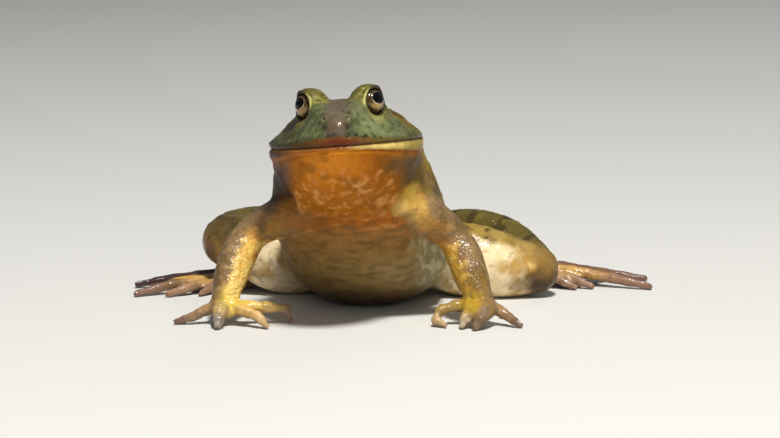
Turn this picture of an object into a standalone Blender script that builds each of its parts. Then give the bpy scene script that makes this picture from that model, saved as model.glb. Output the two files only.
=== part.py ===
"""An American bullfrog sitting up on its spread forelegs, life size, as a museum model shows it.

Lengths here are in millimetres, and MM turns them into Blender's metres. The frog faces -Y, its left
side is +X, and it stands on Z = 0. The flesh is modelled as overlapping lofts that are fused into one
skin, and that skin is then parted with thin slots into the pieces that a person would name.
"""

import math

import bmesh
import bpy
from mathutils import Matrix, Vector

MM = 0.001

# Driving dimensions of the animal
SNOUT_VENT = 160.0
HEAD_HALF_WIDTH = 0.194 * SNOUT_VENT
TRUNK_HALF_WIDTH = 0.215 * SNOUT_VENT
EYE_RADIUS = 0.037 * SNOUT_VENT
CORNEA_RISE, CORNEA_SPREAD = 0.5, 40.0  # the bulge in front of the eye, and its half angle
TYMPANUM_RADIUS = 0.045 * SNOUT_VENT
TYMPANUM_THICKNESS = 2.0

# How the solids are made and parted
COARSE_VOXEL, FINE_VOXEL = 0.8, 0.65
COARSE_SMOOTHING, FINE_SMOOTHING = 10, 3
SLOT = 0.36  # width of the thin cuts, and of the gap round an eye or an eardrum
FLESH_TRIANGLES = 4450
LIDS_REACH, LIDS_CARE = 9.0, 0.01  # how near the eyes the flesh keeps more triangles, and how many
LIMB_SEGMENTS = 24
STEPS_BETWEEN_KEYS = 5
CAP_RINGS = 5

# The head's own frame: its origin is midway between the angles of the jaw, on the line of the mouth
HEAD_PLACE = Vector((-0.9, 12.0, 72.3))
HEAD_YAW, HEAD_PITCH, HEAD_ROLL = 7.5, 6.0, 4.5


def head_frame():
    """Turns the head's own coordinates into the frog's, in millimetres."""
    turn = Matrix.Rotation(math.radians(HEAD_YAW), 4, "Z")
    turn @= Matrix.Rotation(math.radians(-HEAD_PITCH), 4, "X")
    turn @= Matrix.Rotation(math.radians(-HEAD_ROLL), 4, "Y")
    return Matrix.Translation(HEAD_PLACE) @ turn


def through(keys, steps=STEPS_BETWEEN_KEYS):
    """A smooth run of rows through the key rows, as a Catmull-Rom spline in every column."""
    padded = [keys[0], *keys, keys[-1]]
    rows = []
    for before, start, end, after in zip(padded, padded[1:], padded[2:], padded[3:]):
        for step in range(steps):
            t = step / steps
            rows.append(
                tuple(
                    0.5 * (2 * b + (c - a) * t + (2 * a - 5 * b + 4 * c - d) * t**2
                           + (3 * b - a - 3 * c + d) * t**3)
                    for a, b, c, d in zip(before, start, end, after)
                )
            )
    return [*rows, tuple(keys[-1])]


def power(value, exponent):
    return math.copysign(abs(value) ** exponent, value)


def add_loft(bm, rings):
    """One closed shell through rings of equally many points. A ring's points run counterclockwise
    when seen from the first ring's side."""
    made = [[bm.verts.new(point * MM) for point in ring] for ring in rings]
    for near, far in zip(made, made[1:]):
        for i in range(len(near)):
            bm.faces.new((near[i - 1], near[i], far[i], far[i - 1]))
    bm.faces.new(reversed(made[0]))
    bm.faces.new(made[-1])


def add_tube(bm, keys, segments=LIMB_SEGMENTS, up=Vector((0, 0, 1))):
    """A limb with rounded ends. Each key is x, y, z, its radius across and its radius along up."""
    rows = through(keys)
    points = [Vector(row[:3]) for row in rows]
    radii = [row[3:5] for row in rows]
    first = (points[1] - points[0]).normalized()
    last = (points[-1] - points[-2]).normalized()
    angles = [math.pi / 2 * step / CAP_RINGS for step in range(1, CAP_RINGS + 1)]
    stations = []
    for angle in reversed(angles):
        shrink = max(math.cos(angle), 0.05)
        reach = min(radii[0]) * math.sin(angle)
        stations.append((points[0] - first * reach, first, [r * shrink for r in radii[0]]))
    for i, point in enumerate(points):
        along = points[min(i + 1, len(points) - 1)] - points[max(i - 1, 0)]
        stations.append((point, along.normalized(), radii[i]))
    for angle in angles:
        shrink = max(math.cos(angle), 0.05)
        reach = min(radii[-1]) * math.sin(angle)
        stations.append((points[-1] + last * reach, last, [r * shrink for r in radii[-1]]))
    rings = []
    for centre, along, (wide, tall) in stations:
        across = along.cross(up).normalized()
        rise = across.cross(along).normalized()
        ring = []
        for i in range(segments):
            turn = 2 * math.pi * i / segments
            ring.append(centre - across * wide * math.cos(turn) + rise * tall * math.sin(turn))
        rings.append(ring)
    add_loft(bm, rings)


def add_ellipsoid(bm, centre, radii, frame=Matrix()):
    """An ellipsoid with its own frame, such as the head's. Centre and radii are in that frame."""
    place = frame @ Matrix.Translation(Vector(centre)) @ Matrix.Diagonal((*radii, 1))
    scaled = Matrix.Scale(MM, 4) @ place
    bmesh.ops.create_uvsphere(bm, u_segments=24, v_segments=16, radius=1, matrix=scaled)


def add_ring(bm, centre, normal, radius, thickness):
    """A torus, such as the rim of an eyelid."""
    side = normal.orthogonal().normalized()
    other = normal.cross(side).normalized()
    steps, sides = 36, 12
    rows = []
    for i in range(steps):
        turn = 2 * math.pi * i / steps
        outward = side * math.cos(turn) + other * math.sin(turn)
        row = []
        for j in range(sides):
            roll = 2 * math.pi * j / sides
            lift = outward * (radius + thickness * math.cos(roll))
            row.append(bm.verts.new((centre + lift + normal * thickness * math.sin(roll)) * MM))
        rows.append(row)
    for i, row in enumerate(rows):
        for j in range(sides):
            bm.faces.new((rows[i - 1][j - 1], row[j - 1], row[j], rows[i - 1][j]))


# ---------------------------------------------------------------- the shapes of the flesh

# Along the head: y, half width at the lips, half width of the flat crown, its height, the throat's depth
HEAD_KEYS = [
    (24.0, 20.0, 7.5, 8.0, 26.0),
    (16.0, 25.5, 9.5, 13.6, 30.0),
    (8.0, 29.5, 10.5, 16.4, 32.5),
    (0.0, HEAD_HALF_WIDTH, 10.0, 17.6, 32.5),
    (-10.0, 30.2, 9.4, 17.8, 30.0),
    (-20.0, 28.0, 8.8, 17.4, 26.0),
    (-29.0, 24.6, 8.0, 16.4, 21.0),
    (-37.0, 20.4, 7.0, 14.9, 15.0),
    (-43.5, 15.0, 5.6, 12.8, 9.0),
    (-47.8, 9.6, 4.0, 10.8, 5.2),
    (-50.0, 4.8, 2.4, 8.6, 2.4),
]

EYE_CENTRE = Vector((11.5, -21.6, 16.1))
LOOK_FORWARD, LOOK_UP = 38.0, 11.0  # degrees forward of sideways, and above level
LID_OPENING = 53.0  # half angle of the opening between the lids
LID_FORWARD, LID_UP = 37.0, 3.0
LID_THICKNESS = 1.1

TYMPANUM_CENTRE = Vector((24.4, -4.6, 7.2))
TYMPANUM_NORMAL = Vector((0.72, 0.12, 0.68))

# Along the trunk: y and z on the back, y and z on the belly, half width
TRUNK_KEYS = [
    (6.0, 85.0, -8.0, 52.0, 22.0),
    (16.0, 87.0, -2.5, 42.5, 28.5),
    (28.0, 84.5, 4.0, 32.0, 31.8),
    (41.0, 78.3, 11.0, 20.5, 33.5),
    (54.0, 70.5, 22.0, 9.5, TRUNK_HALF_WIDTH),
    (66.5, 61.0, 36.0, 2.0, TRUNK_HALF_WIDTH),
    (78.0, 49.0, 53.0, -0.9, 32.0),
    (87.0, 37.5, 71.0, -0.9, 26.5),
    (94.0, 27.5, 85.0, 0.8, 18.5),
    (98.5, 18.5, 94.0, 5.0, 9.5),
]
TRUNK_SQUARENESS = 2.15
TRUNK_CLEARANCE = 1.3  # how far outside the trunk the limbs are parted from it
NECK_POINT, NECK_NORMAL = Vector((0, 8, 63)), Vector((0, 0.805, -0.593))
BELLY_SPREAD = 0.12  # how much wider the belly is than the back
HIP_RIDGE = [(11.5, 54, 61.5, 5, 5), (9.5, 66, 53, 5.5, 5.5), (8, 78, 41, 5, 5)]
BLADE_RIDGE = [(13, 12, 72, 8, 8), (16.5, 27, 70, 10, 10.5), (17, 42, 62, 9, 9)]

# Limbs: x, y, z, radius across, radius upwards. The frog's left side comes first.
ARMS = {
    "l": [
        (19, 8, 50, 9.5, 10),
        (28, 15, 45, 8.6, 9),
        (36, 21, 38.5, 7.2, 7.6),
        (41.5, 24, 32.5, 6.8, 7.0),
        (45.8, 21, 26, 7.5, 7.7),
        (50, 16, 18, 7.0, 7.1),
        (53.6, 12, 11.5, 5.6, 5.8),
    ],
    "r": [
        (-17, 5, 46, 9.5, 10),
        (-27, 9.5, 41.5, 8.2, 8.8),
        (-35.5, 13, 37.5, 7.2, 7.6),
        (-41.5, 13, 32.8, 6.8, 7.0),
        (-44.5, 8, 26.5, 7.4, 7.6),
        (-46.5, 1.5, 18.5, 7.0, 7.1),
        (-47.6, -3.5, 11.5, 5.8, 5.8),
    ],
}
THIGHS = {
    "l": [
        (14, 88, 19, 12, 13),
        (28, 77, 16.5, 14, 15.5),
        (43, 74, 14.8, 14.2, 15.5),
        (56, 76, 12.8, 12.3, 13.4),
        (67, 79, 11.2, 9.6, 10.2),
    ],
    "r": [
        (-14, 88, 19, 12, 13),
        (-27, 73, 16, 14, 15.5),
        (-41, 66.5, 15.4, 14, 15.5),
        (-54, 64.5, 20.3, 12.2, 12.8),
        (-64, 66, 21.3, 10.8, 11),
    ],
}
SHANKS = {
    "l": [
        (67, 79.5, 11.5, 9.2, 9.6),
        (60, 86.5, 15.5, 10.2, 10.4),
        (50, 94, 19.8, 10.8, 11.4),
        (36, 100.5, 22, 10, 11.2),
        (22, 105.5, 21.5, 7.6, 9),
        (9, 108, 18.4, 5.4, 5.6),
    ],
    "r": [
        (-64.5, 67.5, 21.2, 10.8, 11),
        (-62, 76.5, 22.3, 11, 11.3),
        (-53, 86.5, 22.8, 10.8, 11.2),
        (-40, 95, 22, 9.2, 9.8),
        (-25, 103, 20.3, 7.2, 7.6),
        (-12, 107, 18, 5.4, 5.6),
    ],
}
TARSI = {
    "l": [(9, 108.5, 13, 5.4, 4.8), (22, 109, 7.4, 5.2, 4.2), (39, 105.5, 6.4, 6, 4)],
    "r": [(-12, 107.5, 13, 5.4, 4.8), (-25, 103, 7.4, 5.2, 4.2), (-40, 94, 6.4, 6, 4)],
}

# Digits: points from the wrist or heel to the tip, and the radius at the tip. Innermost digit first.
FINGERS = {
    "l": [
        ([(51.5, 12, 7), (44.5, 9.5, 7.6), (38.6, 6.6, 6), (37.2, 3.4, 2.8), (41.6, 0.8, 1.5)], 1.6),
        ([(52.5, 11.5, 6.6), (51, 6, 6.4), (49.6, 2.0, 4.6), (49.0, -0.8, 1.6)], 1.75),
        ([(54, 12, 7), (56.6, 5.6, 8), (57.2, 1, 5.6), (54.4, -2.2, 1.7)], 1.95),
        ([(55.5, 13.5, 8), (61, 11.6, 6.4), (66.3, 9.2, 3.9), (71.4, 6.8, 1.4)], 1.6),
    ],
    "r": [
        ([(-45, -6, 7), (-37, -5, 7.2), (-29.3, -3, 6.8), (-23, -1.5, 6), (-21, -1.8, 1.6)], 1.6),
        ([(-45.5, -7.5, 6.4), (-39, -10.5, 6.4), (-32.3, -12.8, 5), (-28, -14.8, 1.5)], 1.65),
        ([(-47, -7.5, 6.6), (-47.4, -13, 6.4), (-47.2, -17, 4.2), (-47, -19.8, 1.8)], 2.05),
        ([(-49, -6.5, 6.8), (-54.5, -8, 5.6), (-60, -10, 3), (-66.2, -12.4, 1.4)], 1.6),
    ],
}
PALMS = {
    "l": [(53.4, 13.5, 9.5, 6, 5.2), (54.2, 9, 7.2, 7.6, 4.6), (55, 5, 6.2, 6.8, 3.8), (55.2, 2, 5, 4.8, 3)],
    "r": [(-47.6, -3, 9.5, 5.8, 5), (-47, -7.5, 6.6, 7, 4), (-46.8, -11, 5.6, 5.2, 3)],
}
TOES = {
    "l": [
        ([(39, 101, 4.6), (46, 97.5, 3.8), (53, 94, 3.2), (59, 90.5, 2.4), (64.4, 87.6, 1.5)], 1.6),
        ([(40, 103, 5.5), (51, 101, 4.8), (62, 99.5, 4.6), (73, 98, 4.4), (81.4, 95.6, 1.5)], 1.7),
        ([(40, 104.5, 6.3), (54, 103.7, 6), (66, 102.8, 5), (78, 101.7, 4), (88, 99, 1.6)], 1.75),
        ([(40, 105.5, 7), (59, 106.6, 7.6), (78, 106.8, 6.2), (97, 105.4, 4), (112.4, 102.6, 1.6)], 1.8),
        ([(40, 106.5, 7.6), (57, 112.4, 8), (73, 116, 6.4), (91, 119, 4), (108.6, 120.4, 1.8)], 1.75),
    ],
    "r": [
        ([(-40, 91, 4.6), (-47, 84, 3.5), (-53.4, 76, 2.9), (-58.4, 68, 2.2), (-62, 60.4, 1.4)], 1.5),
        ([(-40.5, 92, 5.5), (-50.4, 83, 4.5), (-59.2, 72.4, 3.9), (-66.4, 61, 3.7), (-72, 50.8, 1.5)], 1.7),
        ([(-40.5, 92, 6.3), (-52, 80, 5), (-63.5, 68, 4), (-75.5, 55.8, 3.8), (-85, 45.6, 1.6)], 1.75),
        ([(-41, 93, 7), (-56, 80.4, 5.6), (-71, 67.6, 4.5), (-86, 55.4, 3.8), (-98.4, 44.4, 1.6)], 1.8),
        ([(-41, 94, 7.6), (-57, 85.4, 6.3), (-72, 78, 5), (-88.5, 71.4, 3.9), (-103.6, 64.8, 1.7)], 1.75),
    ],
}
DIGIT_BASE = 1.6  # a digit's root is this many times as thick as its tip
KNUCKLE = 1.18  # and its joints are this much thicker than the bones between them
WEB_HALF_THICKNESS = 1.05
WEB_REACH = 0.92  # how far along the toes the web reaches
WEB_NOTCH = 0.24  # how deep its free edge is cut in, as a share of the toe
WEB_SAG = 0.1
FINGER_WEB_REACH = 0.4


def head_ring(y, half_width, crown_half, crown, throat):
    """One section across the head, in its own frame: a flat crown, slanting cheeks, round throat."""
    cheek = [
        (0, crown),
        (crown_half, 0.96 * crown),
        (0.5 * crown_half + 0.54 * half_width, 0.5 * crown),
        (0.945 * half_width, 0.17 * crown),
        (half_width, 0),
    ]
    side = through(cheek, 3)
    for step in range(1, 13):
        turn = math.pi / 2 * step / 12
        side.append((half_width * math.cos(turn), -throat * math.sin(turn)))
    other = [(-x, z) for x, z in side[-2:0:-1]]
    return [Vector((x, y, z)) for x, z in [*side, *other]]


def add_head(bm):
    frame = head_frame()
    add_loft(bm, [[frame @ point for point in head_ring(*row)] for row in through(HEAD_KEYS)])
    for side in (1, -1):
        mirrored = Vector((side, 1, 1))
        add_ellipsoid(bm, Vector((11.4, -21.3, 15.7)) * mirrored, (7.8, 9.0, 7.7), frame)
        add_ellipsoid(bm, Vector((11.0, -12.0, 12.0)) * mirrored, (7.0, 11.0, 6.0), frame)
        eye, lid = frame @ (EYE_CENTRE * mirrored), facing(side, LID_FORWARD, LID_UP)
        drop = EYE_RADIUS * math.cos(math.radians(LID_OPENING))
        rim = EYE_RADIUS * math.sin(math.radians(LID_OPENING))
        add_ring(bm, eye + lid * drop, lid, rim + 0.7, LID_THICKNESS)
        brow = [
            frame @ (Vector(point) * mirrored)
            for point in ((9.5, -26, 15.2), (7.2, -34, 12.8), (5.2, -41, 10.8))
        ]
        add_tube(bm, [(*point, r, r) for point, r in zip(brow, (4.4, 3.6, 2.8))])


def facing(side, forward, up):
    """A direction in the frog's frame, from degrees forward of sideways and degrees above level."""
    forward, up = math.radians(forward), math.radians(up)
    own = Vector((side * math.cos(up) * math.cos(forward), -math.cos(up) * math.sin(forward), math.sin(up)))
    return (head_frame().to_3x3() @ own).normalized()


def trunk_rings(segments, steps):
    rings = []
    for back_y, back_z, belly_y, belly_z, half_width in through(TRUNK_KEYS, steps):
        back, belly = Vector((0, back_y, back_z)), Vector((0, belly_y, belly_z))
        centre, rise = (back + belly) / 2, (back - belly) / 2
        ring = []
        for i in range(segments):
            turn = 2 * math.pi * i / segments
            c, s = math.cos(turn), math.sin(turn)
            wide = half_width * (1 - BELLY_SPREAD * s)
            across = wide * power(c, 2 / TRUNK_SQUARENESS)
            ring.append(centre + Vector((across, 0, 0)) + rise * power(s, 2 / TRUNK_SQUARENESS))
        rings.append(ring)
    return rings


def add_trunk(bm):
    add_loft(bm, trunk_rings(2 * LIMB_SEGMENTS, STEPS_BETWEEN_KEYS))
    for side in (1, -1):
        for ridge in (HIP_RIDGE, BLADE_RIDGE):
            add_tube(bm, [(side * x, y, z, wide, tall) for x, y, z, wide, tall in ridge])


def digit_keys(points, tip):
    """A digit's spine with radii that narrow to the tip and swell at the joints."""
    last = len(points) - 1
    keys = []
    for i, (point, after) in enumerate(zip(points, [*points[1:], None])):
        radius = tip * (DIGIT_BASE + (1 - DIGIT_BASE) * i / last)
        swell = KNUCKLE if 0 < i < last else 1
        keys.append((*point, radius * swell, radius * swell))
        if after is not None:
            middle = (Vector(point) + Vector(after)) / 2
            keys.append((*middle, radius * 0.92, radius * 0.92))
    return keys


def add_web(bm, inner, outer, reach_share=WEB_REACH, notch=WEB_NOTCH):
    """The skin between two toes: a thin closed sheet with a hollowed free edge."""
    along, over = 10, 8
    spines = [through([(*point,) for point in points], 6) for points in (inner, outer)]

    def at(spine, share):
        place = max(0.0, min(share, 1.0)) * (len(spine) - 1)
        i = min(int(place), len(spine) - 2)
        return Vector(spine[i]).lerp(Vector(spine[i + 1]), place - i)

    grids = []
    for lift in (WEB_HALF_THICKNESS, -WEB_HALF_THICKNESS):
        grid = []
        for j in range(over + 1):
            across = j / over
            bow = math.sin(math.pi * across)
            row = []
            for i in range(along + 1):
                share = i / along
                reach = (reach_share - notch * bow) * share
                point = at(spines[0], reach).lerp(at(spines[1], reach), across)
                point.z += lift - WEB_SAG * bow * share
                row.append(bm.verts.new(point * MM))
            grid.append(row)
        grids.append(grid)
    top, bottom = grids
    made = []
    for j in range(over):
        for i in range(along):
            made.append((top[j][i], top[j][i + 1], top[j + 1][i + 1], top[j + 1][i]))
            made.append((bottom[j + 1][i], bottom[j + 1][i + 1], bottom[j][i + 1], bottom[j][i]))
    border = [(j, 0) for j in range(over)] + [(over, i) for i in range(along)]
    border += [(j, along) for j in range(over, 0, -1)] + [(0, i) for i in range(along, 0, -1)]
    for (j, i), (l, k) in zip(border, border[1:] + border[:1]):
        made.append((top[j][i], top[l][k], bottom[l][k], bottom[j][i]))
    faces = [bm.faces.new(corners) for corners in made]
    bmesh.ops.recalc_face_normals(bm, faces=faces)


def add_limbs(bm):
    for side in ("l", "r"):
        for keys in (ARMS[side], THIGHS[side], SHANKS[side], TARSI[side], PALMS[side]):
            add_tube(bm, keys)


def add_digits(bm):
    for side in ("l", "r"):
        for points, tip in FINGERS[side] + TOES[side]:
            add_tube(bm, digit_keys(points, tip), segments=14)
        for (inner, _), (outer, _) in zip(TOES[side], TOES[side][1:]):
            add_web(bm, inner, outer)
        for (inner, _), (outer, _) in zip(FINGERS[side], FINGERS[side][1:]):
            add_web(bm, inner, outer, FINGER_WEB_REACH, 0.1)


def new_object(name, bm):
    mesh = bpy.data.meshes.new(name)
    bm.to_mesh(mesh)
    bm.free()
    made = bpy.data.objects.new(name, mesh)
    bpy.context.scene.collection.objects.link(made)
    return made


def apply_modifiers(obj):
    graph = bpy.context.evaluated_depsgraph_get()
    baked = bpy.data.meshes.new_from_object(obj.evaluated_get(graph))
    obj.modifiers.clear()
    obj.data = baked


def fuse(obj, voxel, smoothing):
    """Makes one skin of overlapping shells, with its creases softened."""
    remesh = obj.modifiers.new("Fuse", "REMESH")
    remesh.mode = "VOXEL"
    remesh.voxel_size = voxel * MM
    soften = obj.modifiers.new("Soften", "SMOOTH")
    soften.factor = 0.5
    soften.iterations = smoothing
    apply_modifiers(obj)


def flesh():
    """The whole frog but its eyes and eardrums, as one skin of few triangles."""
    bm = bmesh.new()
    add_head(bm)
    add_trunk(bm)
    add_limbs(bm)
    body = new_object("flesh", bm)
    fuse(body, COARSE_VOXEL, COARSE_SMOOTHING)
    bm = bmesh.new()
    bm.from_mesh(body.data)
    bpy.data.objects.remove(body)
    add_digits(bm)
    body = new_object("flesh", bm)
    fuse(body, FINE_VOXEL, FINE_SMOOTHING)
    far = body.vertex_groups.new(name="Far from the eyes")
    eyes = [head_frame() @ (EYE_CENTRE * Vector((side, 1, 1))) for side in (1, -1)]
    for vert in body.data.vertices:
        nearest = min((vert.co / MM - eye).length for eye in eyes)
        far.add([vert.index], min(max(nearest / LIDS_REACH - 0.5, 0.0), 1.0), "REPLACE")
    thin = body.modifiers.new("Thin", "DECIMATE")
    thin.ratio = FLESH_TRIANGLES / sum(len(face.vertices) - 2 for face in body.data.polygons)
    thin.vertex_group = far.name
    thin.vertex_group_factor = LIDS_CARE
    apply_modifiers(body)
    return body


# ---------------------------------------------------------------- parting the flesh into named pieces


def add_slab(bm, centre, normal, along, half_length, half_height):
    """A thin slot. It is half_length each way along, and half_height each way across."""
    normal = Vector(normal).normalized()
    along = Vector(along)
    along = (along - normal * along.dot(normal)).normalized()
    across = normal.cross(along)
    axes = Matrix((along * half_length * 2, across * half_height * 2, normal * SLOT)).transposed()
    place = Matrix.Translation(Vector(centre) * MM) @ (axes * MM).to_4x4()
    bmesh.ops.create_cube(bm, size=1, matrix=place)


def add_trunk_slot(bm, keep):
    """A thin slot that follows the trunk a little outside it, where a limb leaves it."""
    loft = bmesh.new()
    add_loft(loft, trunk_rings(LIMB_SEGMENTS, 2))
    bmesh.ops.recalc_face_normals(loft, faces=loft.faces)
    loft.normal_update()
    kept = [face for face in loft.faces if len(face.verts) == 4 and keep(face.calc_center_median() / MM)]
    inner, outer = {}, {}
    for face in kept:
        for vert in face.verts:
            if vert not in inner:
                inner[vert] = bm.verts.new(vert.co + vert.normal * (TRUNK_CLEARANCE - SLOT / 2) * MM)
                outer[vert] = bm.verts.new(vert.co + vert.normal * (TRUNK_CLEARANCE + SLOT / 2) * MM)
    for face in kept:
        bm.faces.new([outer[vert] for vert in face.verts])
        bm.faces.new([inner[vert] for vert in reversed(face.verts)])
        for loop in face.loops:
            if sum(other in kept for other in loop.edge.link_faces) == 1:
                start, end = loop.vert, loop.link_loop_next.vert
                bm.faces.new((outer[start], inner[start], inner[end], outer[end]))
    loft.free()


def behind_neck(point):
    return (point - NECK_POINT).dot(NECK_NORMAL) > -2.5


def joint_slots():
    """Where the flesh is parted: centre, normal, the slot's long direction, its half sizes."""
    frame = head_frame()
    mouth_up = frame.to_3x3() @ Vector((0, 0, 1))
    mouth_end = NECK_NORMAL.cross(mouth_up).normalized()  # the mouth's plane ends along the neck's
    forward = mouth_end.cross(mouth_up)
    if forward.dot(NECK_NORMAL) > 0:
        forward.negate()
    to_neck = (NECK_POINT - frame.translation).dot(NECK_NORMAL) / forward.dot(NECK_NORMAL)
    slots = [
        (NECK_POINT, NECK_NORMAL, (1, 0, 0), 48, 50),
        (frame.translation + forward * (to_neck + 44.6), mouth_up, mouth_end, 50, 45),
        ((43, 86.9, 18.4), (0.383, 0.962, 0.272), (-0.929, 0.37, 0), 44, 30),
        ((-41.5, 81.3, 26), (-0.53, 0.83, 0.2), (0.843, 0.538, 0), 42, 17.5),
        ((21, 106, 13), (0.1, -0.3, 0.95), (37, -4, 0), 22, 8),
        ((-25, 101.6, 12.4), (-0.1, 0, 1), (-36, -18, 0), 22, 8),
    ]
    for side in ("l", "r"):
        arm = [Vector(key[:3]) for key in ARMS[side]]
        tarsus = [Vector(key[:3]) for key in TARSI[side]]
        slots += [
            (arm[3], arm[4] - arm[2], (1, 0, 0), 10, 12),
            (arm[6], (arm[6] - arm[5]) * Vector((0.4, 1, 1)), (1, 0, 0), 12, 12),
            (tarsus[-1] + Vector((0, 0, -2)), tarsus[-1] - tarsus[-2], (0, 1, 0), 12, 6.4),
        ]
    return slots


def add_solid(bm, make, centre, axis, **sizes):
    """A ball, disc or cone of Blender's own, with its own z turned to the axis."""
    turn = Vector(axis).to_track_quat("Z", "Y").to_matrix().to_4x4()
    for name in sizes:
        if name.startswith(("radius", "depth")):
            sizes[name] *= MM
    return make(bm, matrix=Matrix.Translation(Vector(centre) * MM) @ turn, **sizes)["verts"]


def eardrum_place(body, side):
    """The middle of the skin under an eardrum, and the way that skin faces."""
    frame = head_frame()
    mirrored = Vector((side, 1, 1))
    outward = (frame.to_3x3() @ (TYMPANUM_NORMAL * mirrored)).normalized()
    first = outward.orthogonal().normalized()
    second = outward.cross(first)
    rim = []
    for i in range(8):
        turn = math.pi / 4 * i
        aside = (first * math.cos(turn) + second * math.sin(turn)) * 0.8 * TYMPANUM_RADIUS
        start = frame @ (TYMPANUM_CENTRE * mirrored) + aside + outward * 20
        hit, place, _, _ = body.ray_cast(start * MM, -outward)
        rim.append(place / MM)
    facing_out = (rim[4] - rim[0]).cross(rim[6] - rim[2]).normalized()
    if facing_out.dot(outward) < 0:
        facing_out.negate()
    return sum(rim, Vector()) / len(rim), facing_out


def organs(body):
    """The eyes and eardrums, and the cutters that make room for them."""
    frame = head_frame()
    made, rooms = {}, []
    for side, name in ((1, "left"), (-1, "right")):
        centre = frame @ (EYE_CENTRE * Vector((side, 1, 1)))
        look = facing(side, LOOK_FORWARD, LOOK_UP)
        bm = bmesh.new()
        sphere = bmesh.ops.create_uvsphere
        ball = add_solid(bm, sphere, centre, look, radius=EYE_RADIUS, u_segments=16, v_segments=8)
        for vert in ball:
            reach = vert.co / MM - centre
            bulge = 1 - reach.angle(look) / math.radians(CORNEA_SPREAD)
            vert.co += reach.normalized() * CORNEA_RISE * max(bulge, 0) ** 0.5 * MM
        made["eye_" + name] = new_object("eye_" + name, bm)

        bm = bmesh.new()
        add_solid(bm, sphere, centre, look, radius=EYE_RADIUS + SLOT, u_segments=20, v_segments=12)
        rooms.append(new_object("room", bm))
        bm = bmesh.new()
        lids = facing(side, LID_FORWARD, LID_UP)
        depth, spread = 12, math.tan(math.radians(LID_OPENING))
        add_solid(bm, bmesh.ops.create_cone, centre + lids * depth / 2, lids, radius1=0.2,
                  radius2=depth * spread, depth=depth, segments=20, cap_ends=True)
        rooms.append(new_object("room", bm))

        skin, outward = eardrum_place(body, side)
        middle = skin + outward * (0.5 - TYMPANUM_THICKNESS / 2)
        disc = {"segments": 18, "cap_ends": True}
        for grow, rise, group in ((0, 0, made), (SLOT, 3, rooms)):
            bm = bmesh.new()
            radius, thick = TYMPANUM_RADIUS + grow, TYMPANUM_THICKNESS + grow + rise
            add_solid(bm, bmesh.ops.create_cone, middle + outward * (rise - grow) / 2, outward,
                      radius1=radius, radius2=radius, depth=thick, **disc)
            if group is made:
                made["tympanum_" + name] = new_object("tympanum_" + name, bm)
            else:
                rooms.append(new_object("room", bm))
    return made, rooms


def part_at_joints(body, cutters):
    """Cuts the floor's flats, the slots and the rooms for the organs, with exact Booleans."""
    bm = bmesh.new()
    under = Matrix.Translation((0, 0, -20 * MM)) @ Matrix.Diagonal((0.4, 0.4, 40 * MM, 1))
    bmesh.ops.create_cube(bm, size=1, matrix=under)
    cutters = [new_object("floor", bm), *cutters]
    for slot in joint_slots():
        bm = bmesh.new()
        add_slab(bm, *slot)
        cutters.append(new_object("slot", bm))
    for side in (1, -1):
        bm = bmesh.new()
        add_trunk_slot(bm, lambda p: p.y < 46 and p.z < 62 and side * p.x > 5 and behind_neck(p))
        add_trunk_slot(bm, lambda p: p.y > 46 and p.z < 37 and side * p.x > 4)
        cutters.append(new_object("slot", bm))
    for cutter in cutters:
        cut = body.modifiers.new("Part", "BOOLEAN")
        cut.operation = "DIFFERENCE"
        cut.solver = "EXACT"
        cut.object = cutter
    apply_modifiers(body)
    for cutter in cutters:
        bpy.data.objects.remove(cutter)


def loose_parts(body):
    """The shells of a mesh, each as an object of its own."""
    bm = bmesh.new()
    bm.from_mesh(body.data)
    bpy.data.objects.remove(body)
    left = set(bm.verts)
    parts = []
    while left:
        seed = min(left, key=lambda vert: vert.index)
        shell, front = {seed}, [seed]
        while front:
            for edge in front.pop().link_edges:
                for vert in edge.verts:
                    if vert not in shell:
                        shell.add(vert)
                        front.append(vert)
        left -= shell
        order = sorted(shell, key=lambda vert: vert.index)
        place = {vert: i for i, vert in enumerate(order)}
        faces = [face for face in bm.faces if face.verts[0] in shell]
        mesh = bpy.data.meshes.new("piece")
        mesh.from_pydata(
            [vert.co for vert in order], [], [[place[vert] for vert in face.verts] for face in faces]
        )
        made = bpy.data.objects.new("piece", mesh)
        bpy.context.scene.collection.objects.link(made)
        parts.append(made)
    bm.free()
    return parts


# Each piece of flesh is known by the point nearest to the middle of its box
FLESH = {
    "head": (0, -8, 85),
    "lower_jaw": (0, -8, 62),
    "trunk": (0, 47, 43),
    "upper_arm_left": (34, 15, 41),
    "upper_arm_right": (-30, 8, 39),
    "forearm_left": (48, 19, 22),
    "forearm_right": (-45, 5, 22),
    "hand_left": (54, 7, 7),
    "hand_right": (-44, -10, 7),
    "thigh_left": (46, 78, 16),
    "thigh_right": (-43, 72, 16),
    "shank_left": (42, 94, 17),
    "shank_right": (-41, 88, 20),
    "tarsus_left": (22, 107, 9),
    "tarsus_right": (-25, 99, 9),
    "foot_left": (76, 104, 5),
    "foot_right": (-72, 70, 5),
}
CRUMB = 12.0  # shells of less than this many cubic millimetres are waste from the cuts

# Base colour of each kind of piece, and its roughness
COLOURS = {
    "head": ((0.1, 0.14, 0.06), 0.35),
    "lower_jaw": ((0.42, 0.18, 0.04), 0.35),
    "trunk": ((0.2, 0.17, 0.06), 0.4),
    "upper_arm": ((0.3, 0.2, 0.07), 0.4),
    "forearm": ((0.35, 0.25, 0.08), 0.4),
    "hand": ((0.42, 0.3, 0.08), 0.4),
    "thigh": ((0.4, 0.33, 0.16), 0.35),
    "shank": ((0.12, 0.1, 0.04), 0.4),
    "tarsus": ((0.12, 0.09, 0.05), 0.4),
    "foot": ((0.16, 0.09, 0.05), 0.35),
    "eye": ((0.02, 0.015, 0.01), 0.05),
    "tympanum": ((0.14, 0.12, 0.05), 0.35),
}


def volume(obj):
    bm = bmesh.new()
    bm.from_mesh(obj.data)
    cubic_mm = bm.calc_volume() / MM**3
    bm.free()
    return cubic_mm


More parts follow.
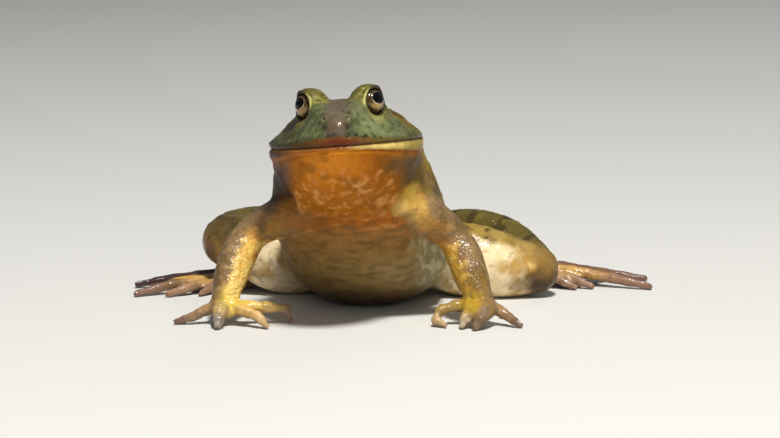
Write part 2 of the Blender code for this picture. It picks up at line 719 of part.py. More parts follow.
def name_pieces(parts):
    """Names every shell by its place, and drops the crumbs."""
    named = {}
    for part in parts:
        if volume(part) < CRUMB:
            bpy.data.objects.remove(part)
            continue
        corners = [Vector(corner) / MM for corner in part.bound_box]
        middle = sum(corners, Vector()) / 8
        name = min(FLESH, key=lambda known: (Vector(FLESH[known]) - middle).length)
        if name in named:
            raise ValueError("two pieces are both nearest to " + name)
        part.name = part.data.name = name
        named[name] = part
    missing = sorted(set(FLESH) - set(named))
    if missing:
        raise ValueError("no piece was parted off for " + ", ".join(missing))
    return named


def colour(obj):
    kind = obj.name.removesuffix("_left").removesuffix("_right")
    base, roughness = COLOURS[kind]
    material = bpy.data.materials.get(kind) or bpy.data.materials.new(kind)
    material.use_nodes = True
    shader = material.node_tree.nodes["Principled BSDF"]
    shader.inputs["Base Color"].default_value = (*base, 1)
    shader.inputs["Roughness"].default_value = roughness
    shader.inputs["Metallic"].default_value = 0
    obj.data.materials.clear()
    obj.data.materials.append(material)


def settle(objects):
    """Moves the middle of the frog's box over the origin, with its flats on the floor."""
    bpy.context.view_layer.update()
    corners = [obj.matrix_world @ vert.co for obj in objects for vert in obj.data.vertices]
    low = Vector([min(corner[i] for corner in corners) for i in range(3)])
    high = Vector([max(corner[i] for corner in corners) for i in range(3)])
    shift = Matrix.Translation((-(low.x + high.x) / 2, -(low.y + high.y) / 2, -low.z))
    for obj in objects:
        obj.data.transform(shift)


def main():
    for obj in list(bpy.data.objects):
        bpy.data.objects.remove(obj)
    body = flesh()
    pieces, rooms = organs(body)
    part_at_joints(body, rooms)
    pieces |= name_pieces(loose_parts(body))
    for obj in pieces.values():
        colour(obj)
    settle(pieces.values())


main()
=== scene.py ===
"""The look of the bullfrog: one wet, granular skin over all its flesh, and two detailed eyes.

Lengths inside are in millimetres, in the frame of the CAD model. The frog faces -Y and its left is +X,
so its right side is on the left of the picture.
"""

import math
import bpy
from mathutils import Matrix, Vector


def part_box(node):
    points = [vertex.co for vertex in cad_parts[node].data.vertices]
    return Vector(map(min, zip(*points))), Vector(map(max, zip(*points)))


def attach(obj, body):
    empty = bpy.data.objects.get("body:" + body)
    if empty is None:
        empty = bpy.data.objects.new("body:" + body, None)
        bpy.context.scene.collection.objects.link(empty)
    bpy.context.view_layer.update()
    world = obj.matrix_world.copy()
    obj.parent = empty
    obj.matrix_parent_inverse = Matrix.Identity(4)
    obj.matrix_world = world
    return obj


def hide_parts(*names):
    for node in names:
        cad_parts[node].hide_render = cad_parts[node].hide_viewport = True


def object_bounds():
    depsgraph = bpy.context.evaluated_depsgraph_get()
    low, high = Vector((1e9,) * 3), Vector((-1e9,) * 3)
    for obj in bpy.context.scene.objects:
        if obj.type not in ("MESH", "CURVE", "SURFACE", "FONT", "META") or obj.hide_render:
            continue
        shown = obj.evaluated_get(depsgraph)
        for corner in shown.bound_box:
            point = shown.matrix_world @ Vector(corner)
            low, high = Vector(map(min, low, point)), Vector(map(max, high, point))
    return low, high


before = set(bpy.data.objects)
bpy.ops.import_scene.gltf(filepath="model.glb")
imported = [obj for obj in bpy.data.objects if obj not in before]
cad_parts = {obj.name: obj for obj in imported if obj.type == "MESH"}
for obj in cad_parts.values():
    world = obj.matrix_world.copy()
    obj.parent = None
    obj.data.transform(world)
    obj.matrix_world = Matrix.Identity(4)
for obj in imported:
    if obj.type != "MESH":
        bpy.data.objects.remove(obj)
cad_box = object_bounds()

from types import SimpleNamespace

import bmesh
import bpy
import numpy as np
from mathutils import Matrix, Vector
from mathutils.bvhtree import BVHTree

MM = 0.001
EYES = {"eye_left": 1, "eye_right": -1}
EARDRUMS = ("tympanum_left", "tympanum_right")
FLESH = sorted(set(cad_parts) - set(EYES))

# How the skin is made
VOXEL = 0.45
CLOSING = 0.26  # each node swells by this much, which closes the cuts between them
WELD = 0.001
MARGIN = 0.01  # between the skin and the sides of the CAD's box
ROUNDS = 70  # of smoothing

# The head's own frame, as in the CAD model: yaw, pitch and roll, and where the eyes are in it
HEAD_YAW, HEAD_PITCH, HEAD_ROLL = 7.5, 6, 4.5
EYE_SPOT = (11.5, -21.6, 16.1)
EYE_RADIUS = 5.92
CLEARANCE = 0.15  # at least this much from the eye to the skin round it
LOOK_FORWARD, LOOK_UP = 38, 11
LID_FORWARD, LID_UP = 37, 3
LID_OPENING = 53

# The spines of the digits, from wrist or heel to tip, innermost first, as the CAD model's source gives
# them before the frog is centred; there the head's frame stands at SOURCE_HEAD
SOURCE_HEAD = (-0.9, 12.0, 72.3)
FINGERS = {
    1: [
        [(51.5, 12, 7), (44.5, 9.5, 7.6), (38.6, 6.6, 6), (37.2, 3.4, 2.8), (41.6, 0.8, 1.5)],
        [(52.5, 11.5, 6.6), (51, 6, 6.4), (49.6, 2, 4.6), (49, -0.8, 1.6)],
        [(54, 12, 7), (56.6, 5.6, 8), (57.2, 1, 5.6), (54.4, -2.2, 1.7)],
        [(55.5, 13.5, 8), (61, 11.6, 6.4), (66.3, 9.2, 3.9), (71.4, 6.8, 1.4)],
    ],
    -1: [
        [(-45, -6, 7), (-37, -5, 7.2), (-29.3, -3, 6.8), (-23, -1.5, 6), (-21, -1.8, 1.6)],
        [(-45.5, -7.5, 6.4), (-39, -10.5, 6.4), (-32.3, -12.8, 5), (-28, -14.8, 1.5)],
        [(-47, -7.5, 6.6), (-47.4, -13, 6.4), (-47.2, -17, 4.2), (-47, -19.8, 1.8)],
        [(-49, -6.5, 6.8), (-54.5, -8, 5.6), (-60, -10, 3), (-66.2, -12.4, 1.4)],
    ],
}
TOES = {
    1: [
        [(39, 101, 4.6), (46, 97.5, 3.8), (53, 94, 3.2), (59, 90.5, 2.4), (64.4, 87.6, 1.5)],
        [(40, 103, 5.5), (51, 101, 4.8), (62, 99.5, 4.6), (73, 98, 4.4), (81.4, 95.6, 1.5)],
        [(40, 104.5, 6.3), (54, 103.7, 6), (66, 102.8, 5), (78, 101.7, 4), (88, 99, 1.6)],
        [(40, 105.5, 7), (59, 106.6, 7.6), (78, 106.8, 6.2), (97, 105.4, 4), (112.4, 102.6, 1.6)],
        [(40, 106.5, 7.6), (57, 112.4, 8), (73, 116, 6.4), (91, 119, 4), (108.6, 120.4, 1.8)],
    ],
    -1: [
        [(-40, 91, 4.6), (-47, 84, 3.5), (-53.4, 76, 2.9), (-58.4, 68, 2.2), (-62, 60.4, 1.4)],
        [(-40.5, 92, 5.5), (-50.4, 83, 4.5), (-59.2, 72.4, 3.9), (-66.4, 61, 3.7), (-72, 50.8, 1.5)],
        [(-40.5, 92, 6.3), (-52, 80, 5), (-63.5, 68, 4), (-75.5, 55.8, 3.8), (-85, 45.6, 1.6)],
        [(-41, 93, 7), (-56, 80.4, 5.6), (-71, 67.6, 4.5), (-86, 55.4, 3.8), (-98.4, 44.4, 1.6)],
        [(-41, 94, 7.6), (-57, 85.4, 6.3), (-72, 78, 5), (-88.5, 71.4, 3.9), (-103.6, 64.8, 1.7)],
    ],
}
DIGIT_RADIUS = 2.6  # at the root; the tip is 0.65 of it

# The camera that took the photograph: degrees about the frog, metres away, and its aim, in metres to
# the right and up from the floor under the head
CAMERA_AZIMUTH, CAMERA_ELEVATION, CAMERA_DISTANCE = 11, 9, 1.3
CAMERA_LENS, CAMERA_SENSOR = 149, 36
AIM_FROM = (-0.00445, -0.0421, 0.0)
AIM_RIGHT, AIM_UP = 0.018978, 0.042676
TURN = math.radians(CAMERA_AZIMUTH)
CAMERA_RIGHT = np.array([math.cos(TURN), math.sin(TURN), 0.0])


# ---- fields of numbers


def ramp(low, high, value):
    """A smooth step from 0 at low to 1 at high, which may be the smaller."""
    t = np.clip((value - low) / (high - low), 0, 1)
    return t * t * (3 - 2 * t)


def bell(distance, width):
    return np.exp(-((distance / width) ** 2))


def away(points, place, shape=1):
    """The distance from a place, each axis in units of shape."""
    return np.linalg.norm((points - place) / shape, axis=1)


def nearest(points, places):
    return np.min([away(points, place) for place in places], axis=0)


def unit(vectors):
    return vectors / np.maximum(np.linalg.norm(vectors, axis=-1, keepdims=True), 1e-9)


def scatter(cells, seed):
    """A pseudo-random number from 0 to 1 for each row of whole numbers."""
    x, y, z = np.moveaxis(cells, -1, 0)
    mixed = x * 73856093 ^ y * 19349663 ^ z * 83492791 ^ seed * 2654435761
    mixed = (mixed ^ (mixed >> 13)) * 1274126177 & 0x7FFFFFFF
    mixed = (mixed ^ (mixed >> 16)) * 668265263 & 0x7FFFFFFF
    return ((mixed >> 8) & 0xFFFF) / 65535.0


# The directions that smooth noise leans in, from corner to corner of its grid
SLOPES = unit(np.array([corner for corner in np.ndindex(3, 3, 3) if corner != (1, 1, 1)]) - 1.0)
TILT = np.array(Matrix.Rotation(math.radians(37), 3, Vector((1, 2, 0.5)).normalized()))


def noise(points, size, seed=0, octaves=1):
    """Smooth noise from about -1 to 1 with swells about size millimetres across."""
    total, weight, amount = 0, 0, 1.0
    for octave in range(octaves):
        points = points @ TILT
        place = points / size
        cell = np.floor(place).astype(np.int64)
        part = place - cell
        ease = part * part * part * (part * (part * 6 - 15) + 10)
        value = 0
        for corner in np.ndindex(2, 2, 2):
            share = np.prod(np.where(np.array(corner) == 1, ease, 1 - ease), axis=1)
            slope = SLOPES[(scatter(cell + corner, seed + octave) * len(SLOPES)).astype(int) % len(SLOPES)]
            value = value + share * ((part - corner) * slope).sum(axis=1)
        total = total + amount * value * 1.7
        weight += amount
        amount *= 0.5
        size *= 0.5
    return total / weight


def warts(points, size, seed=0, share=1.0):
    """Domes from 0 to 1, one at most in each cube of size millimetres, of uneven widths."""
    place = points / size
    cell = np.floor(place).astype(np.int64)
    best = np.zeros(len(points))
    for corner in np.ndindex(3, 3, 3):
        near = cell + np.array(corner) - 1
        seat = near + np.stack([scatter(near, seed + axis) for axis in (1, 2, 3)], axis=1)
        width = (0.3 + 0.32 * scatter(near, seed + 4)) * (scatter(near, seed + 5) < share)
        reach = away(place, seat) / np.maximum(width, 1e-6)
        best = np.maximum(best, np.clip(1 - reach**2, 0, 1) * (0.5 + 0.5 * scatter(near, seed + 6)))
    return best


def degrees_off(directions, axis):
    return np.degrees(np.arccos(np.clip(directions @ axis, -1, 1)))


def turned(forward, up, side):
    """A direction in the head's frame, from degrees forward of sideways and degrees above level."""
    forward, up = math.radians(forward), math.radians(up)
    level = math.cos(up)
    return np.array([side * level * math.cos(forward), -level * math.sin(forward), math.sin(up)])


def head_axes():
    turn = Matrix.Rotation(math.radians(HEAD_YAW), 3, "Z")
    turn @= Matrix.Rotation(math.radians(-HEAD_PITCH), 3, "X")
    turn @= Matrix.Rotation(math.radians(-HEAD_ROLL), 3, "Y")
    return np.array(turn)


def middle(node):
    low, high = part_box(node)
    return (np.array(low) + np.array(high)) / 2 / MM


HEAD = head_axes()
HEAD_PLACE = (middle("eye_left") + middle("eye_right")) / 2 - HEAD @ (np.array(EYE_SPOT) * (0, 1, 1))


def in_head(points):
    return (points - HEAD_PLACE) @ HEAD


EYE_PLACES, EARDRUM_PLACES = [middle(eye) for eye in EYES], [middle(drum) for drum in EARDRUMS]
SETTLED = HEAD_PLACE - SOURCE_HEAD  # from the frame of the CAD model's source to the frog's
BACKWARDS = unit(np.array([0.0, 0.45, 0.9]))  # the way the skin of the back faces


# ---- the skin's shape


def put(obj):
    bpy.context.scene.collection.objects.link(obj)


def node_mesh(name):
    """A CAD node as a welded bmesh."""
    bm = bmesh.new()
    bm.from_mesh(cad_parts[name].data)
    bmesh.ops.remove_doubles(bm, verts=bm.verts, dist=WELD * MM)
    bmesh.ops.recalc_face_normals(bm, faces=bm.faces)
    bm.normal_update()
    return bm


def swollen_flesh():
    """All nodes of flesh, each grown a little so that the cuts between them close."""
    together = bmesh.new()
    for name in FLESH:
        bm = node_mesh(name)
        for vert in bm.verts:
            vert.co += vert.normal * CLOSING * MM
        mesh = bpy.data.meshes.new(name)
        bm.to_mesh(mesh)
        bm.free()
        together.from_mesh(mesh)
        bpy.data.meshes.remove(mesh)
    mesh = bpy.data.meshes.new("skin")
    together.to_mesh(mesh)
    together.free()
    return mesh


def fused_skin():
    """One even mesh of quads over the swollen flesh."""
    skin = bpy.data.objects.new("skin", swollen_flesh())
    put(skin)
    remesh = skin.modifiers.new("Fuse", "REMESH")
    remesh.mode = "VOXEL"
    remesh.voxel_size = VOXEL * MM
    graph = bpy.context.evaluated_depsgraph_get()
    fused = bpy.data.meshes.new_from_object(skin.evaluated_get(graph))
    skin.modifiers.clear()
    skin.data = fused
    return skin


def numbers_of(items, name, width, kind=float):
    flat = np.empty(len(items) * width, kind)
    items.foreach_get(name, flat)
    return flat.reshape(-1, width)


class Surface:
    """A mesh's points in millimetres, and ways to smooth and read them."""

    def __init__(self, obj):
        self.obj = obj
        self.points = numbers_of(obj.data.vertices, "co", 3) / MM
        self.count = len(self.points)
        self.near, self.far = numbers_of(obj.data.edges, "vertices", 2, np.int64).T
        self.degree = np.bincount(np.append(self.near, self.far), minlength=self.count)

    def mean_of_neighbours(self, values):
        if values.ndim == 1:
            total = np.bincount(self.near, values[self.far], self.count)
            total += np.bincount(self.far, values[self.near], self.count)
            return total / self.degree
        return np.stack([self.mean_of_neighbours(column) for column in values.T], axis=1)

    def soften(self, values, rounds, weight=0.5):
        weight = weight[:, None] if np.ndim(weight) and values.ndim > 1 else weight
        for _ in range(rounds):
            values = values + weight * (self.mean_of_neighbours(values) - values)
        return values

    def write(self):
        self.obj.data.vertices.foreach_set("co", (self.points * MM).ravel())
        self.obj.data.update()

    def normals(self):
        self.write()
        return numbers_of(self.obj.data.vertex_normals, "vector", 3)


def nearest_nodes(surface):
    """Which node of flesh each point of the skin lies on."""
    corners, triangles, owners = [], [], []
    for index, name in enumerate(FLESH):
        bm = node_mesh(name)
        bmesh.ops.triangulate(bm, faces=bm.faces)
        start = len(corners)
        bm.verts.index_update()
        corners += [vert.co / MM for vert in bm.verts]
        triangles += [[start + vert.index for vert in face.verts] for face in bm.faces]
        owners += [index] * len(bm.faces)
        bm.free()
    tree = BVHTree.FromPolygons(corners, triangles)
    return np.array([owners[tree.find_nearest(point)[2]] for point in surface.points.tolist()])


def regions(surface):
    """A soft mask from 0 to 1 for each kind of node, left and right together."""
    owners = nearest_nodes(surface)
    masks = {}
    for index, name in enumerate(FLESH):
        kind = name.removesuffix("_left").removesuffix("_right")
        masks.setdefault(kind, np.zeros(surface.count))
        masks[kind] += owners == index
    crisp = ("head", "lower_jaw", "tympanum")
    soft = {kind: surface.soften(mask, 12 if kind in crisp else 60) for kind, mask in masks.items()}
    return SimpleNamespace(**soft)


def smooth_facets(surface, region):
    """Rounds off the CAD's facets, most on the body and least on the eyelids and digits."""
    fine = ramp(0.2, 0.8, region.hand + region.foot)
    lids = 1 - ramp(8.5, 12.5, nearest(surface.points, EYE_PLACES))
    weight = 0.5 * (1 - 0.86 * np.maximum(fine, lids))
    for _ in range(2):
        before = surface.points
        smooth = surface.soften(before, ROUNDS, weight)
        surface.points = smooth + surface.soften(before - smooth, ROUNDS, weight)
    surface.points -= surface.normals() * CLOSING


# ---- sculpting


def distance_to_path(points, path, reach):
    """The distance to a run of straight lines, at most reach, and how far along it, 0 to 1."""
    path = np.asarray(path, float)
    low, high = path.min(axis=0) - reach, path.max(axis=0) + reach
    inside = np.flatnonzero(((points > low) & (points < high)).all(axis=1))
    best, along = np.full(len(points), float(reach)), np.zeros(len(points))
    spans = np.linalg.norm(np.diff(path, axis=0), axis=1)
    total, done = spans.sum(), 0.0
    for start, end, span in zip(path, path[1:], spans):
        share = np.clip((points[inside] - start) @ (end - start) / max(span, 1e-6) ** 2, 0, 1)
        gap = np.linalg.norm(points[inside] - start - share[:, None] * (end - start), axis=1)
        better = gap < best[inside]
        best[inside[better]] = gap[better]
        along[inside[better]] = (done + share[better] * span) / total
        done += span
    return best, along


def curve(keys, steps=8):
    """Points on a smooth curve through the keys."""
    keys = np.asarray(keys, float)
    padded = np.vstack([keys[:1], keys, keys[-1:]])
    rows = []
    for a, b, c, d in zip(padded, padded[1:], padded[2:], padded[3:]):
        bend, swing = 2 * a - 5 * b + 4 * c - d, 3 * b - a - 3 * c + d
        rows += [b + 0.5 * ((c - a) * t + bend * t**2 + swing * t**3) for t in np.arange(steps) / steps]
    return np.array([*rows, keys[-1]])


def seated(points, keys):
    """The keys, each moved to the nearest point of the skin."""
    return [points[np.argmin(((points - np.asarray(key)) ** 2).sum(axis=1))] for key in keys]


def folds(points, table):
    """The lift from every fold in a table."""
    return sum(fold(points, keys, width, height) for width, height, *keys in table)


def fold(points, keys, width, height=1.0):
    """How much a fold along a curve lifts each point. A height under zero makes a crease."""
    path = curve(seated(points, keys))
    distance, along = distance_to_path(points, path, width * 3)
    taper = ramp(0, 0.18, along) * ramp(0, 0.18, 1 - along)
    return height * bell(distance, width) * np.where(distance < width * 3, taper, 0)


class Lid:
    """The points near one eye: how far from the opening's axis and which way round it they lie."""

    REACH = 16.0

    def __init__(self, points, eye, side):
        self.centre = middle(eye)
        self.axis = HEAD @ turned(LID_FORWARD, LID_UP, side)
        rise = HEAD[:, 2]
        up = unit(rise - self.axis * (self.axis @ rise))
        front = np.cross(self.axis, up) * side
        offset = points - self.centre
        radius = np.linalg.norm(offset, axis=1)
        self.close = np.flatnonzero(radius < self.REACH)
        self.radius = radius[self.close]
        self.above = self.radius - EYE_RADIUS
        self.towards = offset[self.close] / self.radius[:, None]
        self.angle = degrees_off(self.towards, self.axis)
        turn = np.arctan2(self.towards @ up, self.towards @ front)
        self.vertical, self.ahead = np.sin(turn), np.cos(turn)
        corners = self.ahead**2 * np.where(self.ahead > 0, 1.6, 11.0)
        self.opening = LID_OPENING + corners - 3.5 * np.clip(self.vertical, 0, 1) ** 2


def shape_lids(surface):
    """Makes each eye's opening a lying oval with a rim and creases."""
    for eye, side in EYES.items():
        lid = Lid(surface.points, eye, side)
        shift = (lid.opening - LID_OPENING) * bell(np.maximum(lid.angle - LID_OPENING, 0), 24)
        shift *= ramp(0, 30, lid.angle) * ramp(14, 10.5, lid.radius)
        moved = np.radians(lid.angle + shift)
        sideways = unit(lid.towards - lid.axis * (lid.towards @ lid.axis)[:, None])
        direction = lid.axis * np.cos(moved)[:, None] + sideways * np.sin(moved)[:, None]
        past = lid.angle + shift - lid.opening
        outside = ramp(0.5, 1, lid.above)
        rim = 0.4 * bell(past - 7, 5.5) - 0.34 * bell(past - 17, 5) + 0.16 * bell(past - 25, 5)
        rim += (0.16 * bell(past - 4, 4) - 0.22 * bell(past - 33, 4)) * ramp(0.2, -0.3, lid.vertical)
        rim -= 0.7 * bell(past - 6, 12) * ramp(-0.3, -0.9, lid.ahead)
        lift = rim * outside * ramp(-4, 4, past)
        least = np.where(lid.above > 0, EYE_RADIUS + CLEARANCE, 0)
        surface.points[lid.close] = lid.centre + direction * np.maximum(lid.radius + lift, least)[:, None]


# Curves on the head's left side, in its own frame, mirrored to the right: half width, height, keys
NOSTRIL = [(4.1, -46.4, 11.3), (5, -45.6, 11.4), (5.9, -44.6, 11.2)]
HEAD_FOLDS = [
    (1.6, 0.85, (15.5, -13.5, 16), (19.5, -7, 14.6), (24.5, 2, 13.2), (29, 8, 7), (30.5, 9, -1)),
    (0.9, -0.4, (16.5, -12, 13.6), (20, -7.5, 12.8)),
    (1.6, 0.35, (12.5, -31, 14), (9, -37.5, 13.4), (5.6, -43.5, 12.4)),
    (2.6, -0.5, (15, -31.5, 10), (11.5, -38, 9.4), (7.6, -43.5, 8.6)),
    (2.6, -0.3, (0, -41, 14), (0, -33, 16.5), (0, -22, 17.4)),
    (1.3, -0.4, (18.5, -25, 7.4), (22.5, -15, 5.4), (27, -3, 3.2)),
    (0.9, 0.4, (24, -17, 1.6), (27.5, -8, 1.3), (29.8, 0, 0.6), (31, 7, -3)),
    (1, -0.75, (29.5, 3, -0.6), (31, 8.5, -3.5), (31, 11, -8)),
    (1.6, -0.6, (28.5, 3, -6), (29.5, 8, -12), (27.5, 10, -20)),
]
NOSE, BESIDE_NOSE = (1, -49.6, 7.3), (4.7, -48.6, 7.4)


def lip_band(heads):
    """The height of the upper lip's bare band, widest under the nose."""
    return 4.4 * np.clip(1 - np.abs(heads[:, 0]) / 33, 0, 1) ** 1.1


def lower_lip(heads):
    """The depth of the pale lower lip, widest at the corners of the mouth."""
    return 1.5 + 0.0034 * heads[:, 0] ** 2


def head_relief(heads):
    """The lift of the head's features, at points in its frame."""
    x, y, z = heads.T
    mirrored = np.stack([np.abs(x), y, z], axis=1)
    lips = ramp(4, -2, y)
    roll = lower_lip(heads)
    lift = lips * (0.25 * bell(z - 1.2, 1) - bell(z + 0.05, 0.42) - 0.25 * bell(z - lip_band(heads), 0.7))
    lift += lips * (0.34 * bell(z + 0.5 * roll, 0.42 * roll) - 0.35 * bell(z + 1.25 * roll, 0.32 * roll))
    lift += folds(mirrored, HEAD_FOLDS)
    lift += 0.7 * fold(mirrored, NOSTRIL, 1.4) - 2.1 * fold(mirrored, NOSTRIL, 0.55)
    lift += 1.25 * bell(away(heads, NOSE), 3)
    lift -= 0.5 * bell(away(mirrored, BESIDE_NOSE), 1.5)
    return lift


def eardrum_relief(points):
    """A flat eardrum with a raised rim and a boss in its middle."""
    out = nearest(points, EARDRUM_PLACES)
    return 0.5 * bell(out - 7.3, 0.85) - 0.4 * bell(out - 5.4, 1.3) + 0.38 * bell(out, 2.2)


# Folds and creases of the body in the frog's frame: half width, height, keys
BODY_FOLDS = [
    # across the chest
    (1.1, -0.7, (-19, -45, 43), (-8, -44.5, 42.5), (3, -44, 42), (13, -42, 43.5), (18, -39, 45)),
    (1.6, 0.45, (-17, -44, 40), (-6, -43, 39.6), (6, -42, 39.2), (16, -38, 39.5)),
    (0.8, 0.55, (-14, -41, 37.6), (-8, -41.5, 37.8), (-2, -41.7, 38), (4, -40.7, 37.4), (10, -39, 37)),
    (0.75, -0.65, (-16, -40, 36.4), (-2, -41, 36.7), (10, -39, 35.8), (15, -36.7, 35.8), (22, -32, 36.4)),
    (0.7, -0.55, (-13, -34.6, 27.2), (-6, -35.8, 28.3), (0, -36.4, 29.4), (4.3, -36.4, 30.3), (9, -36, 31)),
    (1.2, 0.35, (-14, -35, 28.6), (-6, -36.5, 29.8), (3, -37, 31.4), (10, -36, 32.6)),
    (1, -0.3, (-20, -33, 31), (-10, -37, 33.6), (2, -38.5, 34), (16, -34, 32)),
    (1.8, -0.3, (-18, -24, 16), (-8, -28, 17.5), (4, -28, 17.8), (18, -22, 19)),
    # the left flank: silvery folds by the armpit
    (0.8, 0.55, (24, -28, 34), (24.5, -21, 26), (25.4, -14.4, 21.3), (26.5, -6, 17.8)),
    (0.7, -0.5, (26, -24, 31), (26.6, -17, 25), (27, -9, 20.5)),
    (0.8, 0.55, (27.5, -20, 32), (29, -10, 26), (29.6, 0, 22), (29, 8, 17)),
    (0.9, 0.4, (29, -14, 33), (31, -5, 27), (31.5, 5, 22)),
    (0.7, -0.45, (27, -12, 27), (28.5, -3, 22.5), (28.5, 6, 17.5)),
    # the right flank
    (0.8, 0.6, (-31, -27, 28), (-30, -23.7, 23.7), (-29.4, -20, 19.4), (-29.9, -11.7, 13.7)),
    (0.8, -0.4, (-29, -27.5, 27), (-28, -23.7, 22), (-27.6, -19, 17)),
    (1.4, -0.5, (-30, -22, 32), (-32.5, -10, 28), (-33, 2, 24)),
    # down the throat
    (1.1, 0.7, (-20.4, -56, 56), (-21.5, -46.2, 49.4), (-19.1, -46.1, 45.3)),
    (0.9, -0.45, (-18.6, -57, 56), (-19.4, -49, 50)),
    (1, 0.45, (-10.6, -64.5, 58.2), (-10.5, -60.4, 54.7), (-11, -54.9, 50.8)),
    (1.6, 0.5, (12, -50.5, 53), (12.5, -45, 48.7)),
    (1, 0.45, (17.5, -46, 55), (15.6, -44, 49.5)),
    (0.8, -0.4, (15, -47, 53.5), (14.2, -44, 48.5)),
    (1.2, -0.7, (22.5, -43, 56), (19.5, -42.5, 50), (15.5, -42, 46)),
    (1.3, -0.7, (-25, -44, 56), (-23, -44, 50), (-20, -44.5, 46)),
    # the left armpit and shoulder
    (1.2, -0.5, (26, -36, 55), (25.5, -35, 49), (23, -36, 43)),
    (1.4, 0.45, (31, -28, 50), (33, -28, 45), (36, -26, 40)),
    # wrinkles at the right elbow
    (0.7, -0.5, (-36.5, -39, 40.5), (-39.8, -37.4, 38.5), (-43, -37, 38)),
    (0.7, -0.5, (-37.5, -38, 37), (-41, -37, 35.6), (-44.5, -38, 35)),
    (0.7, -0.45, (-39.5, -36.5, 34), (-42.4, -36, 33), (-45.5, -37.5, 32)),
    # wrists
    (0.6, -0.55, (-50.8, -51, 12), (-47.7, -49, 12.1), (-45.8, -46.5, 12.2)),
    (0.55, -0.5, (-50.4, -51.4, 10.4), (-47.7, -49.8, 10.6), (-45.6, -47.2, 10)),
    (0.6, -0.35, (-49.5, -49.8, 13.6), (-46, -46, 13.8)),
    (0.6, -0.45, (44.4, -35.5, 12.6), (47.5, -36.6, 12), (51, -35.8, 12)),
    (0.55, -0.4, (45, -36, 10.8), (48, -37.6, 10.4)),
    # the forearm's tendons
    (0.6, -0.35, (-46.4, -39, 31), (-46, -42.5, 24), (-46.6, -46.5, 16)),
    (0.7, -0.4, (41, -28.5, 28), (43.5, -32, 21), (46.5, -34.5, 14.5)),
]
WEB_PLEAT = math.radians(3.4)  # from one fine fold of the web to the next, seen from the heel


def digit_fields(points, spines, region):
    """How far each point is from the nearest digit, how far along it, and which it is."""
    reach = 9.0
    gap, along, which = np.full(len(points), reach), np.zeros(len(points)), np.zeros(len(points), int)
    inside = np.flatnonzero(region > 0.02)
    for side in spines:
        for digit, spine in enumerate(spines[side]):
            distance, share = distance_to_path(points[inside], curve(np.array(spine) + SETTLED, 4), reach)
            distance = distance - DIGIT_RADIUS * (1 - 0.35 * share)
            better = inside[distance < gap[inside]]
            gap[better] = distance[distance < gap[inside]]
            along[better] = share[np.isin(inside, better)]
            which[better] = digit
    return gap, along, which


def web_relief(points, gap, region):
    """Fine pleats from the heel across the web between the toes."""
    lift = np.zeros(len(points))
    for side in TOES:
        heel = np.array(TOES[side][2][0]) + SETTLED
        angle = np.arctan2(points[:, 1] - heel[1], points[:, 0] - heel[0])
        mine = region * (points[:, 0] * side > 0) * ramp(-0.2, 1.2, gap)
        pleats = np.sin(2 * math.pi * angle / WEB_PLEAT + 2 * noise(points, 7, 61))
        lift += 0.16 * pleats * mine * ramp(8, 16, np.hypot(*(points - heel)[:, :2].T))
    return lift


def digit_relief(gap, along, joints, rise):
    """Knuckles, and the narrowing to the tip, except where the digit stands."""
    on_digit = ramp(1.5, 0.2, gap)
    knuckles = 0.34 * bell((along * joints) % 1 - 0.5, 0.15) * ramp(0.12, 0.25, along)
    return on_digit * (knuckles - 0.32 * ramp(0.3, 0.95, along) * ramp(-0.9, 0.2, rise))


def sculpt(surface, region):
    normals = surface.normals()
    heads = in_head(surface.points)
    lift = head_relief(heads) * ramp(16, 10, heads[:, 1]) * ramp(-40, -30, heads[:, 2])
    lift += eardrum_relief(surface.points)
    lift += folds(surface.points, BODY_FOLDS)
    for spines, mask, joints in ((FINGERS, region.hand, 3), (TOES, region.foot, 4)):
        gap, along, _ = digit_fields(surface.points, spines, mask)
        lift += digit_relief(gap, along, joints, normals[:, 2]) * mask
    lift += web_relief(surface.points, gap, region.foot)
    surface.points += normals * lift[:, None]


def granulate(surface, region):
    """Warts on back and limbs, granules on lids and arms, fine swells elsewhere."""
    points, normals = surface.points, surface.normals()
    smooth = unit(surface.soften(normals, 25))
    back = ramp(-0.1, 0.6, smooth @ BACKWARDS)
    arms = region.forearm + region.upper_arm
    rough = back * (region.trunk + 0.8 * (region.thigh + region.shank) + 0.3 * region.head)
    rough += 0.35 * arms
    by_eye = nearest(points, EYE_PLACES)
    lids = ramp(12, 8.5, by_eye) * ramp(6.7, 7.4, by_eye)
    lift = 0.4 * warts(points, 4.2, 3, 0.5) * rough
    lift += 0.2 * warts(points, 2, 11, 0.8) * np.clip(rough + 0.3 * arms + 0.12, 0, 1)
    fine = lids + arms * np.where(points[:, 0] > 0, 0.5, 1)
    lift += 0.13 * warts(points, 1.5, 17, 0.9) * np.clip(fine, 0, 1)
    lift += 0.14 * noise(points, 5, 5, 2)
    lift *= 1 - 0.9 * bell(away(in_head(points), NOSE), 4)
    surface.points += normals * lift[:, None]
    return smooth


def keep_inside(surface):
    """Holds the skin to the CAD model's box and on the floor."""
    low, high = np.array(cad_box[0]) / MM, np.array(cad_box[1]) / MM
    surface.points = np.clip(surface.points, low + MARGIN, high - MARGIN)


# ---- the skin's colours


def linear(tone):
    """A screen colour, 0xRRGGBB, as linear light."""
    share = np.array([tone >> 16, tone >> 8 & 255, tone & 255]) / 255
    return np.where(share <= 0.04045, share / 12.92, ((share + 0.055) / 1.055) ** 2.4)


KNEES = [(68, 38, 13), (-74, 22, 17)]
LEG_BAND = 13  # from one dark bar across the leg to the next
# In the head's frame: the pale left cheek, the painted shade behind and below the right eye, with the shape
# of each, and the spots between eye and nostril with their radii
LEFT_CHEEK, CHEEK_SHAPE = (14, -36, 8), (1.8, 1.6, 1)
SHADE_BEHIND_EYE, SHADE_SHAPE = (-20.4, -15.5, 9.2), (1, 2, 1)
CANTHAL_SPOTS = [((4.6, -48.5, 7.6), 1.7), ((5.1, -42.6, 12.5), 1.3), ((6.4, -45.8, 9.6), 1.1)]


